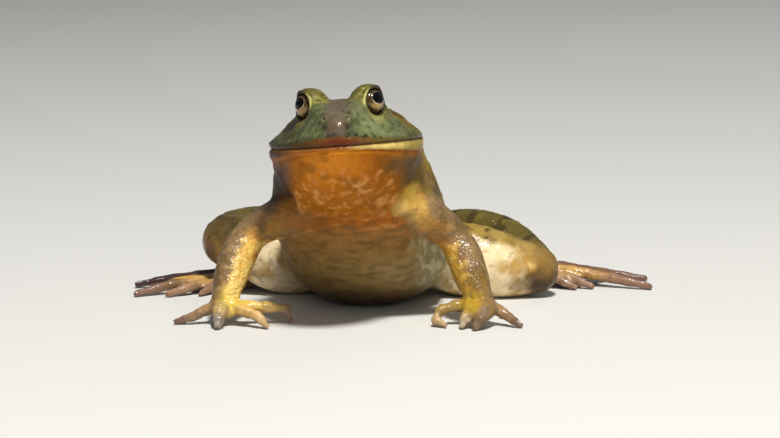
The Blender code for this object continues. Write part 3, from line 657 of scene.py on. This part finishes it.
class Paint:
    """Layers of colour, each laid over the last through a mask from 0 to 1."""

    def __init__(self, count, tone):
        self.colours = np.tile(linear(tone), (count, 1))

    def __call__(self, tone, mask):
        mask = np.clip(mask, 0, 1)[:, None]
        self.colours = self.colours * (1 - mask) + linear(tone) * mask

    def on(self, region):
        """A brush that stays on one region."""
        return lambda tone, mask=1.0: self(tone, region * mask)


class Canvas(SimpleNamespace):
    """What the colours depend on at each point: its region, place and facing, and noises."""

    def __init__(self, surface, region, smooth):
        super().__init__(points=surface.points, smooth=smooth, **vars(region))
        self.heads = in_head(self.points)
        self.back = ramp(-0.25, 0.45, smooth @ BACKWARDS)
        self.side = np.where(self.points[:, 0] > HEAD_PLACE[0], 1.0, -1.0)
        self.broad, self.fine = noise(self.points, 9.0, 21, 2), noise(self.points, 3.2, 31, 2)
        wander = [noise(self.points, 4.0, seed, 2) for seed in (81, 83, 87)]
        self.ragged = self.points + 1.6 * np.stack(wander, axis=1)

    def blot(self, centre, radius):
        """A soft blotch with an uneven edge."""
        return ramp(1.4, 0.45, away(self.ragged, centre) / radius)


def paint_trunk(paint, at):
    trunk, (x, y, z) = at.trunk, at.points.T
    under = trunk * (1 - at.back)
    belly, top = paint.on(under), paint.on(trunk * at.back)
    streaks = noise(at.points * (1, 1, 2.6), 7, 43, 2)
    # the belly and chest: their own cream and brown, darkened as painted shade under the head
    belly(0x846C40)
    belly(0xA89264, bell(x - 14, 9) * ramp(8, 14, z) * ramp(30, 22, z) * 0.25)
    # painted shade, darkest at the bottom of the belly
    belly(0x3E321E, ramp(17, 4, z + 2 * streaks) * ramp(34, 10, np.abs(x + 3)) * 0.9)
    belly(0x8E6636, ramp(20, 34, z + 3 * streaks))
    belly(0xA6621E, ramp(36, 43, z + 5 * streaks))
    belly(0xBE8E56, ramp(34, 42, z) * ramp(0.1, 0.4, streaks) * 0.7)
    belly(0x5C4426, ramp(0, 0.4, -streaks) * 0.45)
    by_arm = under * ramp(17, 27, x + 3 * at.broad) * ramp(-34, -24, y)
    paint(0x948A62, by_arm)
    paint(0xCEC6A0, by_arm * ramp(0, 0.4, noise(at.points * (2, 0.6, 0.6), 4, 45)) * 0.6)
    top(0x605422)
    top(0x585A26, ramp(0, -24, y) * 0.7)
    top(0x362C16, ramp(0.1, 0.4, at.broad + 0.35 * at.fine))
    top(0x7A7036, ramp(0.2, 0.5, -at.fine) * 0.5)
    sideways, behind_arms = ramp(0.35, 0.7, np.abs(at.smooth[:, 0])), ramp(-36, -22, y + 0.3 * (z - 50))
    flank = paint.on(trunk * sideways * ramp(26, 44, z) * behind_arms)
    flank(0x887424, ramp(0.75, 0.3, at.smooth[:, 2]))
    flank(0x4E3C1A, ramp(-0.02, 0.32, at.broad + 0.2 * at.fine) * 0.85)
    flank(0xA89646, ramp(0.15, 0.45, at.fine) * 0.5)


def paint_arms(paint, at):
    arms, hand = at.upper_arm + at.forearm, at.hand
    inward = -at.side * (at.smooth @ CAMERA_RIGHT)
    gold = ramp(-0.1, 0.45, inward + 0.3 * at.fine - 0.22 * (at.side > 0))
    gold *= 1 - at.upper_arm * ramp(35, 42, at.points[:, 2])
    limb, sunny = paint.on(arms + hand), paint.on((arms + hand) * gold)
    left = at.side > 0
    limb(0x826846)
    limb(0x5C4A2A, ramp(0, 0.4, at.broad) * 0.6)
    limb(0xAA8C5C, ramp(0.1, 0.45, at.fine) * 0.5)
    front = at.upper_arm * ramp(0.1, 0.6, -at.smooth[:, 1] - 0.4 * at.smooth[:, 2])
    paint(0x9E6A2E, front * ramp(-0.3, 0.3, inward))
    sunny(0xD4B058, ~left)
    sunny(0xB2882E, left)
    sunny(0xE8CC80, ramp(0.05, 0.45, at.fine) * np.where(left, 0.35, 0.7))
    sunny(0xA8681E, ramp(0.15, 0.5, -at.broad) * 0.6)
    palm = hand * ramp(-0.6, 0, inward)
    paint(0xC4AA48, palm * ~left)
    paint(0xA2842E, palm * left)
    paint_digits(paint, at, FINGERS, FINGER_TINTS, hand)


def paint_digits(paint, at, spines, tints, region):
    """Each digit in its own colours at the root and towards the tip."""
    gap, along, which = digit_fields(at.points, spines, region)
    on_digit = region * ramp(2.6, 0.6, gap) * ramp(0.12, 0.35, along)
    for side in spines:
        for digit, (root, tip) in enumerate(tints[side]):
            mine = on_digit * (which == digit) * (at.side == side)
            paint(root, mine)
            paint(tip, mine * ramp(0.5, 0.9, along + 0.06 * at.fine))
    paint(0x3C3028, on_digit * ramp(0.1, 0.4, at.fine) * ramp(0.2, 0.5, along) * 0.25)
    paint(0x765A48, on_digit * ramp(-0.1, -0.7, at.smooth[:, 2]) * 0.6)


# Colours of the digits, innermost first: at the root and near the tip
FINGER_TINTS = {
    1: [(0x967C42, 0xB09870), (0x9C803C, 0xAC9C82), (0x8C703E, 0x76624A), (0x987854, 0x705A46)],
    -1: [(0xCEAC5C, 0x78604A), (0xCEA862, 0xC4A476), (0xB09862, 0x8A8070), (0x927652, 0x745A4E)],
}
TOE_TINTS = {
    1: [(0xB08850, 0x967A62), (0xB8904E, 0x967860), (0xC09850, 0x92745E), (0xBA9250, 0x886858),
        (0x745242, 0x70544A)],
    -1: [(0xB08854, 0x8C725E), (0xC49A56, 0x8E705C), (0xCEA456, 0x96765C), (0xC89E56, 0x806456),
         (0x4A3430, 0x3E2E2E)],
}


def paint_legs(paint, at):
    shank, foot = at.shank + at.tarsus, at.foot
    thigh, up = paint.on(at.thigh), at.smooth[:, 2]
    thigh(0xE6D2AA)
    thigh(0xC09850, ramp(-0.05, 0.35, at.broad) * 0.7)
    thigh(0xE2C2AC, ramp(0.15, 0.45, -at.broad) * 0.5)
    thigh(0x7A5E2A, ramp(0.2, 0.42, at.fine + 0.5 * at.broad) * 0.45)
    rear = up + 0.8 * np.clip(at.smooth[:, 1], 0, 1)
    thigh(0x927A38, ramp(0.45, 0.85, rear + 0.3 * at.broad))
    thigh(0x685828, ramp(0.3, 0.7, at.smooth[:, 1]) * 0.8)
    thigh(0x544620, ramp(0.5, 0.8, up) * ramp(0.1, 0.35, at.fine) * 0.7)
    knee = nearest(at.points, KNEES)
    thigh(0x7E5E28, ramp(22, 10, knee + 6 * at.broad) * 0.85)
    thigh(0x543E1C, ramp(20, 12, knee) * ramp(0.05, 0.3, at.fine) * 0.8)
    bands = np.sin(2 * math.pi * (knee + 6 * at.broad) / LEG_BAND)
    paint(0x584C22, shank)
    paint(0x746830, shank * ramp(0, 0.5, -at.broad) * 0.7)
    dorsal = shank + at.thigh * ramp(0.5, 0.8, up)
    paint(0x322816, dorsal * ramp(0.3, 1, bands + 0.7 * at.fine + 0.5 * at.broad) * 0.7)
    paint(0x5C4232, at.tarsus * 0.8)
    paint(0xC29848, foot)
    paint(0xD8B86C, foot * ramp(0, 0.4, at.fine) * 0.6)
    paint_digits(paint, at, TOES, TOE_TINTS, foot)


# Single blotches in the frog's frame: centre, radius, colour, strength
BLOTCHES = [
    # the left thigh, on the right of the picture
    ((43, 24, 27), 1.5, 0x4E381A, 0.85), ((58, 28, 21), 1.4, 0x543E1E, 0.8),
    ((64, 36, 21), 1.8, 0x503A1E, 0.8), ((52, 32, 27), 6, 0x705C26, 0.6),
    # the two darkest low by the knee, at (65, 30, 5) and (72, 34, 8), are painted shade under the knee
    ((65, 28, 10), 6.5, 0x523C1C, 0.9), ((65, 30, 5), 5, 0x3A2A14, 0.9),
    ((68, 30, 11), 3, 0x60461E, 0.8), ((72, 34, 8), 5.5, 0x4A3618, 0.9),
    ((69, 32, 19), 9, 0x886E38, 0.7), ((60, 27, 22), 7, 0xA88C4E, 0.65),
    ((56, 24, 6), 4, 0x826638, 0.6), ((50, 22, 15), 3, 0xB68E40, 0.8),
    ((56, 23, 14), 3.6, 0xB0883C, 0.8), ((62, 26, 15), 3.4, 0xBE9446, 0.8),
    ((62, 26, 15), 1.5, 0xE4C484, 0.8), ((66, 30, 18), 6, 0x866838, 0.6),
    ((48, 22, 8), 5, 0xECD6AA, 0.8), ((48, 22, 20), 5, 0xF0DEB0, 0.8),
    # the right knee
    ((-69, 13, 21), 5, 0xB2863E, 0.85), ((-67, 13, 16), 3.5, 0x9E7436, 0.8),
    ((-74, 15, 20), 4, 0x7A502A, 0.85), ((-74, 19, 13), 6.5, 0x583C1A, 0.85),
    # painted shade over the top of the right knee
    ((-66, 16, 30), 12, 0x463A1C, 0.85),
    # the shoulders and armpits
    ((-27, -44, 44), 7, 0x966224, 0.8), ((-34, -40, 38), 5, 0xA47632, 0.7),
    ((-40, -38, 40), 3.6, 0x68482A, 0.6), ((-43, -36, 34), 3.4, 0xBE8C42, 0.7),
    ((22, -40, 52), 5, 0xBE9A42, 0.8), ((19, -42, 48), 3.6, 0xCEAE64, 0.8),
    ((24, -38, 54), 4, 0xA88E3C, 0.7), ((26, -36, 47), 5.5, 0xC8A052, 0.85),
    ((29, -34, 41), 5, 0xBE8E44, 0.8), ((26, -28, 63), 4.5, 0x70562A, 0.8),
    ((28, -26, 56), 4.5, 0x806238, 0.7), ((-17, -44, 41), 6, 0x865018, 0.8),
    ((33, -29, 38), 4.5, 0x9C7232, 0.7), ((31, -31, 46), 3.6, 0x806A4C, 0.7),
    # the flank, the forearms and the tops of the feet
    ((27, -12, 58), 6, 0x685018, 0.9), ((49, -32, 18), 5, 0x7A5E28, 0.8),
    ((-47, -48, 14), 4.6, 0xF0D07C, 0.8), ((48, 28, 27), 5, 0xAA8E4C, 0.7),
    ((85, 75, 5), 4.6, 0x6C563C, 0.7), ((-89, 13, 6), 4.6, 0x6C523A, 0.7),
    # the hands
    ((-51, -63, 4), 2.8, 0x80786A, 0.7), ((53, -42, 8), 2.2, 0x78645A, 0.7),
    ((48, -38, 9), 4.2, 0xB08E26, 0.7),
]
# Soft strokes on the throat in the head's frame: half width, strength, keys
THROAT_STROKES = [
    (0.7, 0.5, (-12, -40, -9), (-13, -36, -12), (-11.5, -36, -13)),
    (0.7, 0.5, (-8, -42.5, -8.5), (-6, -39.5, -11.5)),
    (1, 0.8, (-11, -32.5, -15.5), (-10.5, -27.5, -20), (-10.5, -20.5, -24)),
    (1.2, 0.8, (-19.5, -22.5, -16.5), (-20, -11.5, -22.5), (-18, -11, -28)),
    (2.2, 0.8, (13, -21.5, -21.5), (14.5, -14, -25.5)), (1.2, 0.8, (4, -35, -16), (10, -34, -15.5)),
    (0.9, 0.6, (13.5, -35.5, -13), (16.5, -34.5, -10.5)), (1.2, 0.8, (17, -25, -18), (19.5, -26.5, -14.5)),
    (0.8, 0.5, (1, -44.5, -8), (1, -40.5, -12)), (1, 0.5, (-5, -38.5, -13), (-2.5, -36.5, -15)),
    (1, 0.6, (-9, -30.5, -18.5), (-5.5, -27, -21.5)), (0.9, 0.55, (-2.5, -31.5, -19), (4, -31, -19)),
    (1, 0.6, (6, -31, -19), (11.5, -28.5, -18.5)), (1.1, 0.6, (-7, -19.5, -25.5), (-2, -23.5, -24)),
    (0.8, 0.5, (2.5, -40, -12), (4, -36.5, -15)), (1.4, 0.8, (19, -16, -20.5), (17, -14, -26)),
    (0.8, 0.5, (8.5, -39, -11.5), (10, -34.5, -15)), (0.8, 0.4, (-15.5, -33, -13.5), (-16.5, -27, -17.5)),
    (1.1, 0.5, (3, -26, -22.5), (6.5, -23, -24)),
]


def paint_throat(paint, at):
    throat, (hx, hy, hz) = paint.on(at.lower_jaw), at.heads.T
    # the throat's orange is partly its own colour and partly painted orange bounce light
    throat(0xB86A0E)
    throat(0xD28422, ramp(-16, -5, hz) * bell(hx + 3, 13) * 0.8)
    throat(0x92540C, ramp(9, 18, np.abs(hx + 3) + 2 * at.broad) * 0.75)
    throat(0x965C12, ramp(-13, -22, hz) * 0.7)
    throat(0x805212, ramp(0.05, 0.4, at.broad) * 0.6)
    worms = ramp(0.12, 0.45, noise(at.heads * (1.7, 0.8, 0.8), 3.4, 51, 2))
    throat(0xD49654, worms * ramp(-7, -16, hz) * 0.45)
    wavy = at.heads + 1.1 * np.stack([noise(at.heads, 3, seed) for seed in (71, 73, 75)], axis=1)
    for width, strength, *keys in THROAT_STROKES:
        paint(0xDEA05E, fold(wavy, keys, 1.1 * width) * strength * 0.85)
    front = at.lower_jaw + at.trunk + 0.5 * at.upper_arm
    neck = ramp(0.15, 0.7, front) * ramp(-3, -9, hz)
    shaded_right_side = ramp(-18, -25, hx + 3 * at.broad) * ramp(14, 4, hy) * ramp(-30, -18, hz)
    left_side = ramp(16, 26, hx + 3 * at.broad) * ramp(4, -4, hy) * ramp(-24, -16, hz)
    # the left side's olive is the skin's own; the right side's near-black is painted shade, where the neck
    # turns away from the key light
    paint(0x524220, neck * left_side * 0.9)
    paint(0x322012, neck * shaded_right_side * 0.95)
    roll = ramp(-1.02, -0.82, hz / lower_lip(at.heads) + 0.08 * at.fine)
    lip = paint.on(at.lower_jaw * roll * ramp(9, 2, hy))
    lip(0xAC6228)
    lip(0x583214, ramp(-17, -26, hx))
    lip(0xE6CC7C, ramp(2, 10, hx))
    lip(0x968638, ramp(20, 28, hx + 3 * at.fine) * 0.85)


def paint_head(paint, at):
    head, (hx, hy, hz) = at.head + at.tympanum, at.heads.T
    skin = paint.on(head)
    mirrored = np.stack([np.abs(hx), hy, hz], axis=1)
    small = noise(at.points, 2, 91, 2)
    lid = ramp(13, 8, nearest(at.points, EYE_PLACES) + 0.8 * at.fine)
    skin(0x585D3C)
    # darker towards the right side of the head: partly its own colour, partly painted shade where it turns
    # away from the key light
    skin(0x3C3B26, ramp(-8, -22, hx + 3 * at.broad) * 0.85)
    skin(0x505030, ramp(20, 28, hx + 3 * at.broad) * 0.7)
    skin(0x828A60, bell(away(at.heads, LEFT_CHEEK, CHEEK_SHAPE), 5.6) * 0.8)
    skin(0x343A24, ramp(0.05, 0.35, at.fine + 0.3 * small) * 0.55)
    skin(0x747C50, ramp(0.1, 0.45, -at.fine - 0.3 * small) * 0.4)
    skin(0x6C622A, ramp(-16, -2, hy) * 0.85)
    skin(0x544822, ramp(2, 14, hy) * ramp(9, 13, hz))
    bump = paint.on(lid * head * ramp(5, 13, hz + 0.25 * (hy + 22) + 2.5 * at.fine))
    bump(0x767232)
    bump(0x989850, ramp(0.1, 0.4, small) * 0.7)
    bump(0x3E361A, ramp(0.05, 0.35, -small - 0.4 * at.fine) * 0.7)
    bump(0x524824, ramp(18.5, 22.5, hz + 2 * at.fine) * 0.75)
    band = np.interp(hy, (-44, -36, -24, -12, 4), (3.6, 4.4, 3.8, 6.5, 9))
    crown = head * ramp(band + 3, band - 2, np.abs(hx - 0.3) + 2.6 * at.fine) * ramp(3.4, 5.6, hz)
    crown = paint.on(crown * ramp(4, -12, hy))
    crown(0x605444, 0.95)
    crown(0x42382C, ramp(0.05, 0.4, small + 0.4 * at.broad) * 0.6)
    crown(0x685442, bell(away(at.heads, NOSE), 3.4) * 0.9)
    rims = fold(mirrored, NOSTRIL, 1.2) - 1.2 * fold(mirrored, NOSTRIL, 0.6)
    skin(0x968E64, rims * 0.8)
    # painted shade in the nostril openings
    skin(0x18140E, fold(mirrored, NOSTRIL, 0.55))
    for place, radius in CANTHAL_SPOTS:
        skin(0x282218, bell(away(mirrored, place) + 0.5 * small, radius) * 0.8)
    paint_lips(paint, at, head, small)
    paint(0x685428, at.tympanum)
    out = nearest(at.points, EARDRUM_PLACES)
    paint(0x46361C, bell(out - 5.6, 1.2) * 0.8)
    paint(0x807240, bell(out, 2) * 0.7)
    paint(0x5C602E, bell(out - 7.6, 0.8) * 0.7)
    # painted shade behind and below the right eye
    behind = away(at.heads, SHADE_BEHIND_EYE, SHADE_SHAPE)
    skin(0x2C2216, ramp(6, 2.5, behind + 1.5 * at.fine) * 0.9)


def paint_lips(paint, at, head, small):
    hx, hy, hz = at.heads.T
    height, across = lip_band(at.heads), np.abs(hx - 0.5)
    lips, bare = head * ramp(5, -1, hy), ramp(0.6, -0.6, hz - height + 0.9 * at.fine)
    lips, bare = paint.on(lips), paint.on(lips * bare)
    bare(0x60481E)
    bare(0x422D14, ramp(-4, -14, hx) * 0.85)
    bare(0x565222, ramp(10, 20, hx) * 0.9)
    bare(0x643A1A, ramp(15, 6, across) * 0.75)
    bare(0x60220E, ramp(10, 2, across) * ramp(0.85, 0.4, hz / height) * 0.9)
    row = bell(hz - height - 0.5, 0.75) * ramp(-0.05, 0.3, small + 0.4 * at.fine)
    lips(0x1C1C12, row * ramp(-14, 3, hx) * ramp(22, 14, hx) * 0.9)
    lips(0x28261A, row * ramp(2, -6, hx) * 0.6)
    lips(0x501E0C, bell(hz - 0.2, 0.45) * 0.6)


def paint_lids(paint, at):
    """The pale front rim of each lid, painted shade where the lid meets the eyeball, and painted shade
    below the right eye.
    """
    for eye, side in EYES.items():
        lid = Lid(at.points, eye, side)
        past = lid.angle - lid.opening
        crest = ramp(1.1, 1.8, lid.above)
        edge = crest * ramp(7, 4.2, lid.above) * bell(past - 3.6, 1.9)
        edge *= ramp(0, 0.5, lid.ahead - 0.35 * lid.vertical)
        below = ramp(-0.1, -0.7, lid.vertical) * ramp(4.5, 2.5, lid.above)
        for tone, mask in (
            # painted shade where the lid meets the eyeball
            (0x2C2214, (1 - crest) * ramp(12, 6, past) * 0.9),
            (0xCCC87C, edge * 0.9),
            (0x4A3E22, bell(past - 4, 6) * ramp(0.5, 0.9, lid.vertical) * 0.7),
            # brown painted shade below the right eye
            (0x604224, bell(past - 9, 7) * below * (side < 0) * 0.8),
        ):
            whole = np.zeros(len(at.points))
            whole[lid.close] = mask
            paint(tone, whole)


def paint_skin(at):
    paint = Paint(len(at.points), 0x96804E)
    for section in (paint_trunk, paint_arms, paint_legs, paint_throat, paint_head, paint_lids):
        section(paint, at)
    for centre, radius, tone, strength in BLOTCHES:
        paint(tone, at.blot(seated(at.points, [centre])[0], radius) * strength)
    return paint.colours


def add_values(surface, name, values):
    """Stores a colour or a number at each point for the materials."""
    if values.ndim > 1:
        layer = surface.obj.data.attributes.new(name, "FLOAT_COLOR", "POINT")
        rgba = np.hstack([values, np.ones((surface.count, 1))])
        layer.data.foreach_set("color", rgba.astype(np.float32).ravel())
    else:
        layer = surface.obj.data.attributes.new(name, "FLOAT", "POINT")
        layer.data.foreach_set("value", values.astype(np.float32))


# ---- materials


class Nodes:
    """Short ways to add and link shader nodes."""

    def __init__(self, name):
        self.material = bpy.data.materials.new(name)
        self.material.use_nodes = True
        self.tree = self.material.node_tree
        self.shader = self.tree.nodes["Principled BSDF"].inputs
        self.place = self.tree.nodes.new("ShaderNodeTexCoord").outputs["Object"]

    def feed(self, socket, value):
        if isinstance(value, bpy.types.NodeSocket):
            self.tree.links.new(value, socket)
        else:
            socket.default_value = value

    def add(self, kind, inputs, output, **settings):
        """One output of a new node, whose inputs are fed by name or by number."""
        node = self.tree.nodes.new("ShaderNode" + kind)
        for name, value in settings.items():
            setattr(node, name, value)
        for key, value in inputs.items():
            self.feed(node.inputs[key], value)
        return node.outputs[output]

    def attribute(self, name, output):
        return self.add("Attribute", {}, output, attribute_name=name)

    def noise(self, scale, detail, roughness=0.5):
        inputs = {"Vector": self.place, "Scale": scale, "Detail": detail, "Roughness": roughness}
        return self.add("TexNoise", inputs, "Fac")

    def grains(self, scale):
        """Rounded grains, highest in the middle."""
        inputs = {"Vector": self.place, "Scale": scale, "Smoothness": 0.4}
        return self.math("SUBTRACT", 1, self.add("TexVoronoi", inputs, "Distance", feature="SMOOTH_F1"))

    def math(self, operation, *values):
        return self.add("Math", dict(enumerate(values)), 0, operation=operation)

    def span(self, *values):
        """A smooth step between two limits, from 0 to 1 or between two more numbers."""
        return self.add("MapRange", dict(enumerate(values)), 0, interpolation_type="SMOOTHSTEP")

    def mix(self, share, first, second, kind="MIX"):
        return self.add("Mix", {0: share, 6: first, 7: second}, 2, data_type="RGBA", blend_type=kind)


def skin_material():
    nodes = Nodes("wet_skin")
    mottle = nodes.span(nodes.noise(260, 4, 0.6), 0.3, 0.7)
    speckle = nodes.span(nodes.noise(900, 3), 0.35, 0.68)
    colour = nodes.attribute("tone", "Color")
    for share, weight, tint in ((mottle, 0.35, (0.5, 0.45, 0.4, 1)), (speckle, 0.22, (1.5, 1.45, 1.3, 1))):
        colour = nodes.mix(nodes.math("MULTIPLY", share, weight), colour, tint, "MULTIPLY")
    nodes.feed(nodes.shader["Base Color"], colour)
    height = nodes.math("MULTIPLY_ADD", nodes.grains(520), 0.8, nodes.grains(1050))
    height = nodes.math("MULTIPLY", height, nodes.attribute("grain", "Fac"))
    height = nodes.math("MULTIPLY_ADD", nodes.noise(420, 4, 0.65), 0.4, height)
    normal = nodes.add("Bump", {"Height": height, "Distance": 0.0004, "Strength": 0.8}, "Normal")
    nodes.feed(nodes.shader["Normal"], normal)
    nodes.feed(nodes.shader["Coat Normal"], normal)
    rough = nodes.span(nodes.noise(140, 2), 0.3, 0.7, 0.34, 0.55)
    nodes.feed(nodes.shader["Roughness"], rough)
    nodes.feed(nodes.shader["Coat Weight"], nodes.attribute("wet", "Fac"))
    nodes.shader["Coat Roughness"].default_value = 0.2
    nodes.shader["Specular IOR Level"].default_value = 0.06
    return nodes.material


def eye_material():
    nodes = Nodes("frog_eye")
    fleck = nodes.span(nodes.noise(2600, 3, 0.6), 0.42, 0.6)
    share = nodes.math("MULTIPLY", fleck, nodes.attribute("iris", "Fac"))
    gold = (*linear(0xD6AC64), 1)
    nodes.feed(nodes.shader["Base Color"], nodes.mix(share, nodes.attribute("tone", "Color"), gold))
    nodes.shader["Roughness"].default_value = 0.25
    nodes.shader["Specular IOR Level"].default_value = 0.1
    nodes.shader["Coat Weight"].default_value = 0.5
    nodes.shader["Coat Roughness"].default_value = 0.03
    return nodes.material


# ---- the pieces


def wetness(at):
    """Where a film of water lies: on the limbs, head and back, hardly on the throat."""
    wet = 0.02 + 0.75 * (at.forearm + at.hand + at.foot)
    wet += at.upper_arm * (0.25 + 0.6 * ramp(0.1, 0.7, at.smooth[:, 2]))
    wet += 0.5 * (at.thigh + at.shank) + 0.8 * at.tarsus + 0.4 * at.head
    wet += 0.25 * at.trunk * ramp(0.2, 0.6, at.smooth @ BACKWARDS)
    wet += 0.6 * bell(away(at.heads, NOSE), 5)
    patchy = ramp(-0.45, 0.15, noise(at.points, 6, 97, 2))
    return np.clip(wet * (0.35 + 0.65 * patchy), 0, 1)


def grain(at):
    """How strongly the material's fine granules show."""
    strength = 0.2 + 0.7 * (at.forearm + at.upper_arm) + 0.4 * at.head
    strength += 0.25 * at.foot + 0.6 * ramp(12, 8.8, nearest(at.points, EYE_PLACES))
    strength += 0.5 * (at.trunk + at.shank) * ramp(0, 0.5, at.smooth @ BACKWARDS)
    return np.clip(strength, 0, 1)


def make_skin():
    skin = fused_skin()
    surface = Surface(skin)
    region = regions(surface)
    smooth_facets(surface, region)
    shape_lids(surface)
    sculpt(surface, region)
    smooth = granulate(surface, region)
    keep_inside(surface)
    surface.write()
    at = Canvas(surface, region, smooth)
    add_values(surface, "tone", paint_skin(at))
    add_values(surface, "grain", grain(at))
    add_values(surface, "wet", wetness(at))
    skin.data.shade_smooth()
    skin.data.materials.clear()
    skin.data.materials.append(skin_material())
    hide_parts(*FLESH)
    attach(skin, "root")


PUPIL_HALF = (30, 24)  # degrees across and up the eye
PUPIL_RISE = 4  # degrees from the middle of the eye's front up to the pupil's
CORNEA_RISE, CORNEA_SPREAD = 0.45, 40.0  # millimetres, and degrees from the eye's front
EYE_GRID = (96, 72)
EYE_GAP = 0.04  # how much smaller the ball is than the CAD's eye


def make_eye(node, side, material):
    """An eyeball with a clear bulge in front, a lying oval pupil, its gold ring and a flecked iris."""
    centre = middle(node)
    look = unit(HEAD @ turned(LOOK_FORWARD, LOOK_UP, side))
    up = unit(HEAD[:, 2] - look * (look @ HEAD[:, 2]))
    front = np.cross(look, up) * side
    bm = bmesh.new()
    turn = Matrix((front, up, look)).transposed().to_4x4()
    bmesh.ops.create_uvsphere(bm, u_segments=EYE_GRID[0], v_segments=EYE_GRID[1], radius=1, matrix=turn)
    bmesh.ops.recalc_face_normals(bm, faces=bm.faces)
    obj = bpy.data.objects.new(node + "_ball", bpy.data.meshes.new(node + "_ball"))
    bm.to_mesh(obj.data)
    bm.free()
    put(obj)
    eye = Surface(obj)
    directions = unit(eye.points)
    angle = degrees_off(directions, look)
    bulge = CORNEA_RISE * np.sqrt(np.clip(1 - angle / CORNEA_SPREAD, 0, 1))
    eye.points = centre + directions * (EYE_RADIUS - EYE_GAP + bulge)[:, None]
    eye.write()
    across, rise = 90 - degrees_off(directions, front), 90 - degrees_off(directions, up)
    ring = np.hypot(across / PUPIL_HALF[0], (rise - PUPIL_RISE) / PUPIL_HALF[1]) - 1
    paint = Paint(eye.count, 0x422E1A)
    paint(0x1A140E, ramp(-20, 2, rise))
    paint(0xB28C5A, ramp(-14, -28, rise))
    paint(0x1C150E, ramp(36, 48, angle))
    paint(0xE4C8A0, bell(ring - 0.06, 0.06) * (0.2 + 0.8 * ramp(6, -16, rise)))
    paint(0x030303, ramp(0.03, -0.03, ring))
    add_values(eye, "tone", paint.colours)
    flecks = ramp(0.18, 0.3, ring) * ramp(52, 42, angle) * ramp(0, -22, rise)
    add_values(eye, "iris", 0.12 * ramp(0.18, 0.3, ring) + 0.5 * flecks)
    obj.data.shade_smooth()
    obj.data.materials.append(material)
    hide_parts(node)
    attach(obj, "root")


# ---- the studio


FLOOR_HALF = 12  # in metres


def make_floor():
    corners = [(x * FLOOR_HALF, y * FLOOR_HALF, 0) for x, y in ((-1, -1), (1, -1), (1, 1), (-1, 1))]
    mesh = bpy.data.meshes.new("floor")
    mesh.from_pydata(corners, [], [(0, 1, 2, 3)])
    floor = bpy.data.objects.new("floor", mesh)
    put(floor)
    nodes = Nodes("floor")
    nodes.shader["Base Color"].default_value = (0.6, 0.6, 0.58, 1)
    nodes.shader["Roughness"].default_value = 0.7
    mesh.materials.append(nodes.material)


def add_light(name, place, size, energy, colour=(1, 1, 1), glossy=True):
    data = bpy.data.lights.new(name, "AREA")
    data.size = size
    data.energy = energy
    data.color = colour
    light = bpy.data.objects.new(name, data)
    light.visible_glossy = glossy
    light.location = place
    light.rotation_euler = Vector(place).to_track_quat("Z", "Y").to_euler()
    put(light)


def light_studio():
    """A key light from high up and a little to the right, and weak fills without reflections."""
    add_light("key", (0.36, -0.72, 1.72), 0.24, 50, (1.0, 0.97, 0.92))
    add_light("fill", (0.7, -1.5, 0.6), 1.0, 5, (1.0, 0.98, 0.95), glossy=False)
    add_light("back", (0.3, 1.5, 1.2), 0.9, 4, glossy=False)
    world = bpy.data.worlds.new("studio")
    world.use_nodes = True
    sky = world.node_tree.nodes["Background"].inputs
    sky["Color"].default_value = (0.82, 0.87, 0.95, 1)
    sky["Strength"].default_value = 0.16
    bpy.context.scene.world = world
    bpy.context.scene.view_settings.view_transform = "Standard"


def aim_camera():
    elevation = math.radians(CAMERA_ELEVATION)
    right = Vector(CAMERA_RIGHT)
    back = Vector((right.y, -right.x, 0)) * math.cos(elevation) + Vector((0, 0, math.sin(elevation)))
    up = back.cross(right)
    data = bpy.data.cameras.new("camera")
    data.sensor_width = CAMERA_SENSOR
    data.lens = CAMERA_LENS
    camera = bpy.data.objects.new("camera", data)
    axes = Matrix((right, up, back)).transposed()
    target = Vector(AIM_FROM) + right * AIM_RIGHT + up * AIM_UP
    camera.matrix_world = Matrix.Translation(target + back * CAMERA_DISTANCE) @ axes.to_4x4()
    put(camera)
    bpy.context.scene.camera = camera


make_skin()
eye_look = eye_material()
for eye_node, eye_side in EYES.items():
    make_eye(eye_node, eye_side, eye_look)
make_floor()
light_studio()
aim_camera()
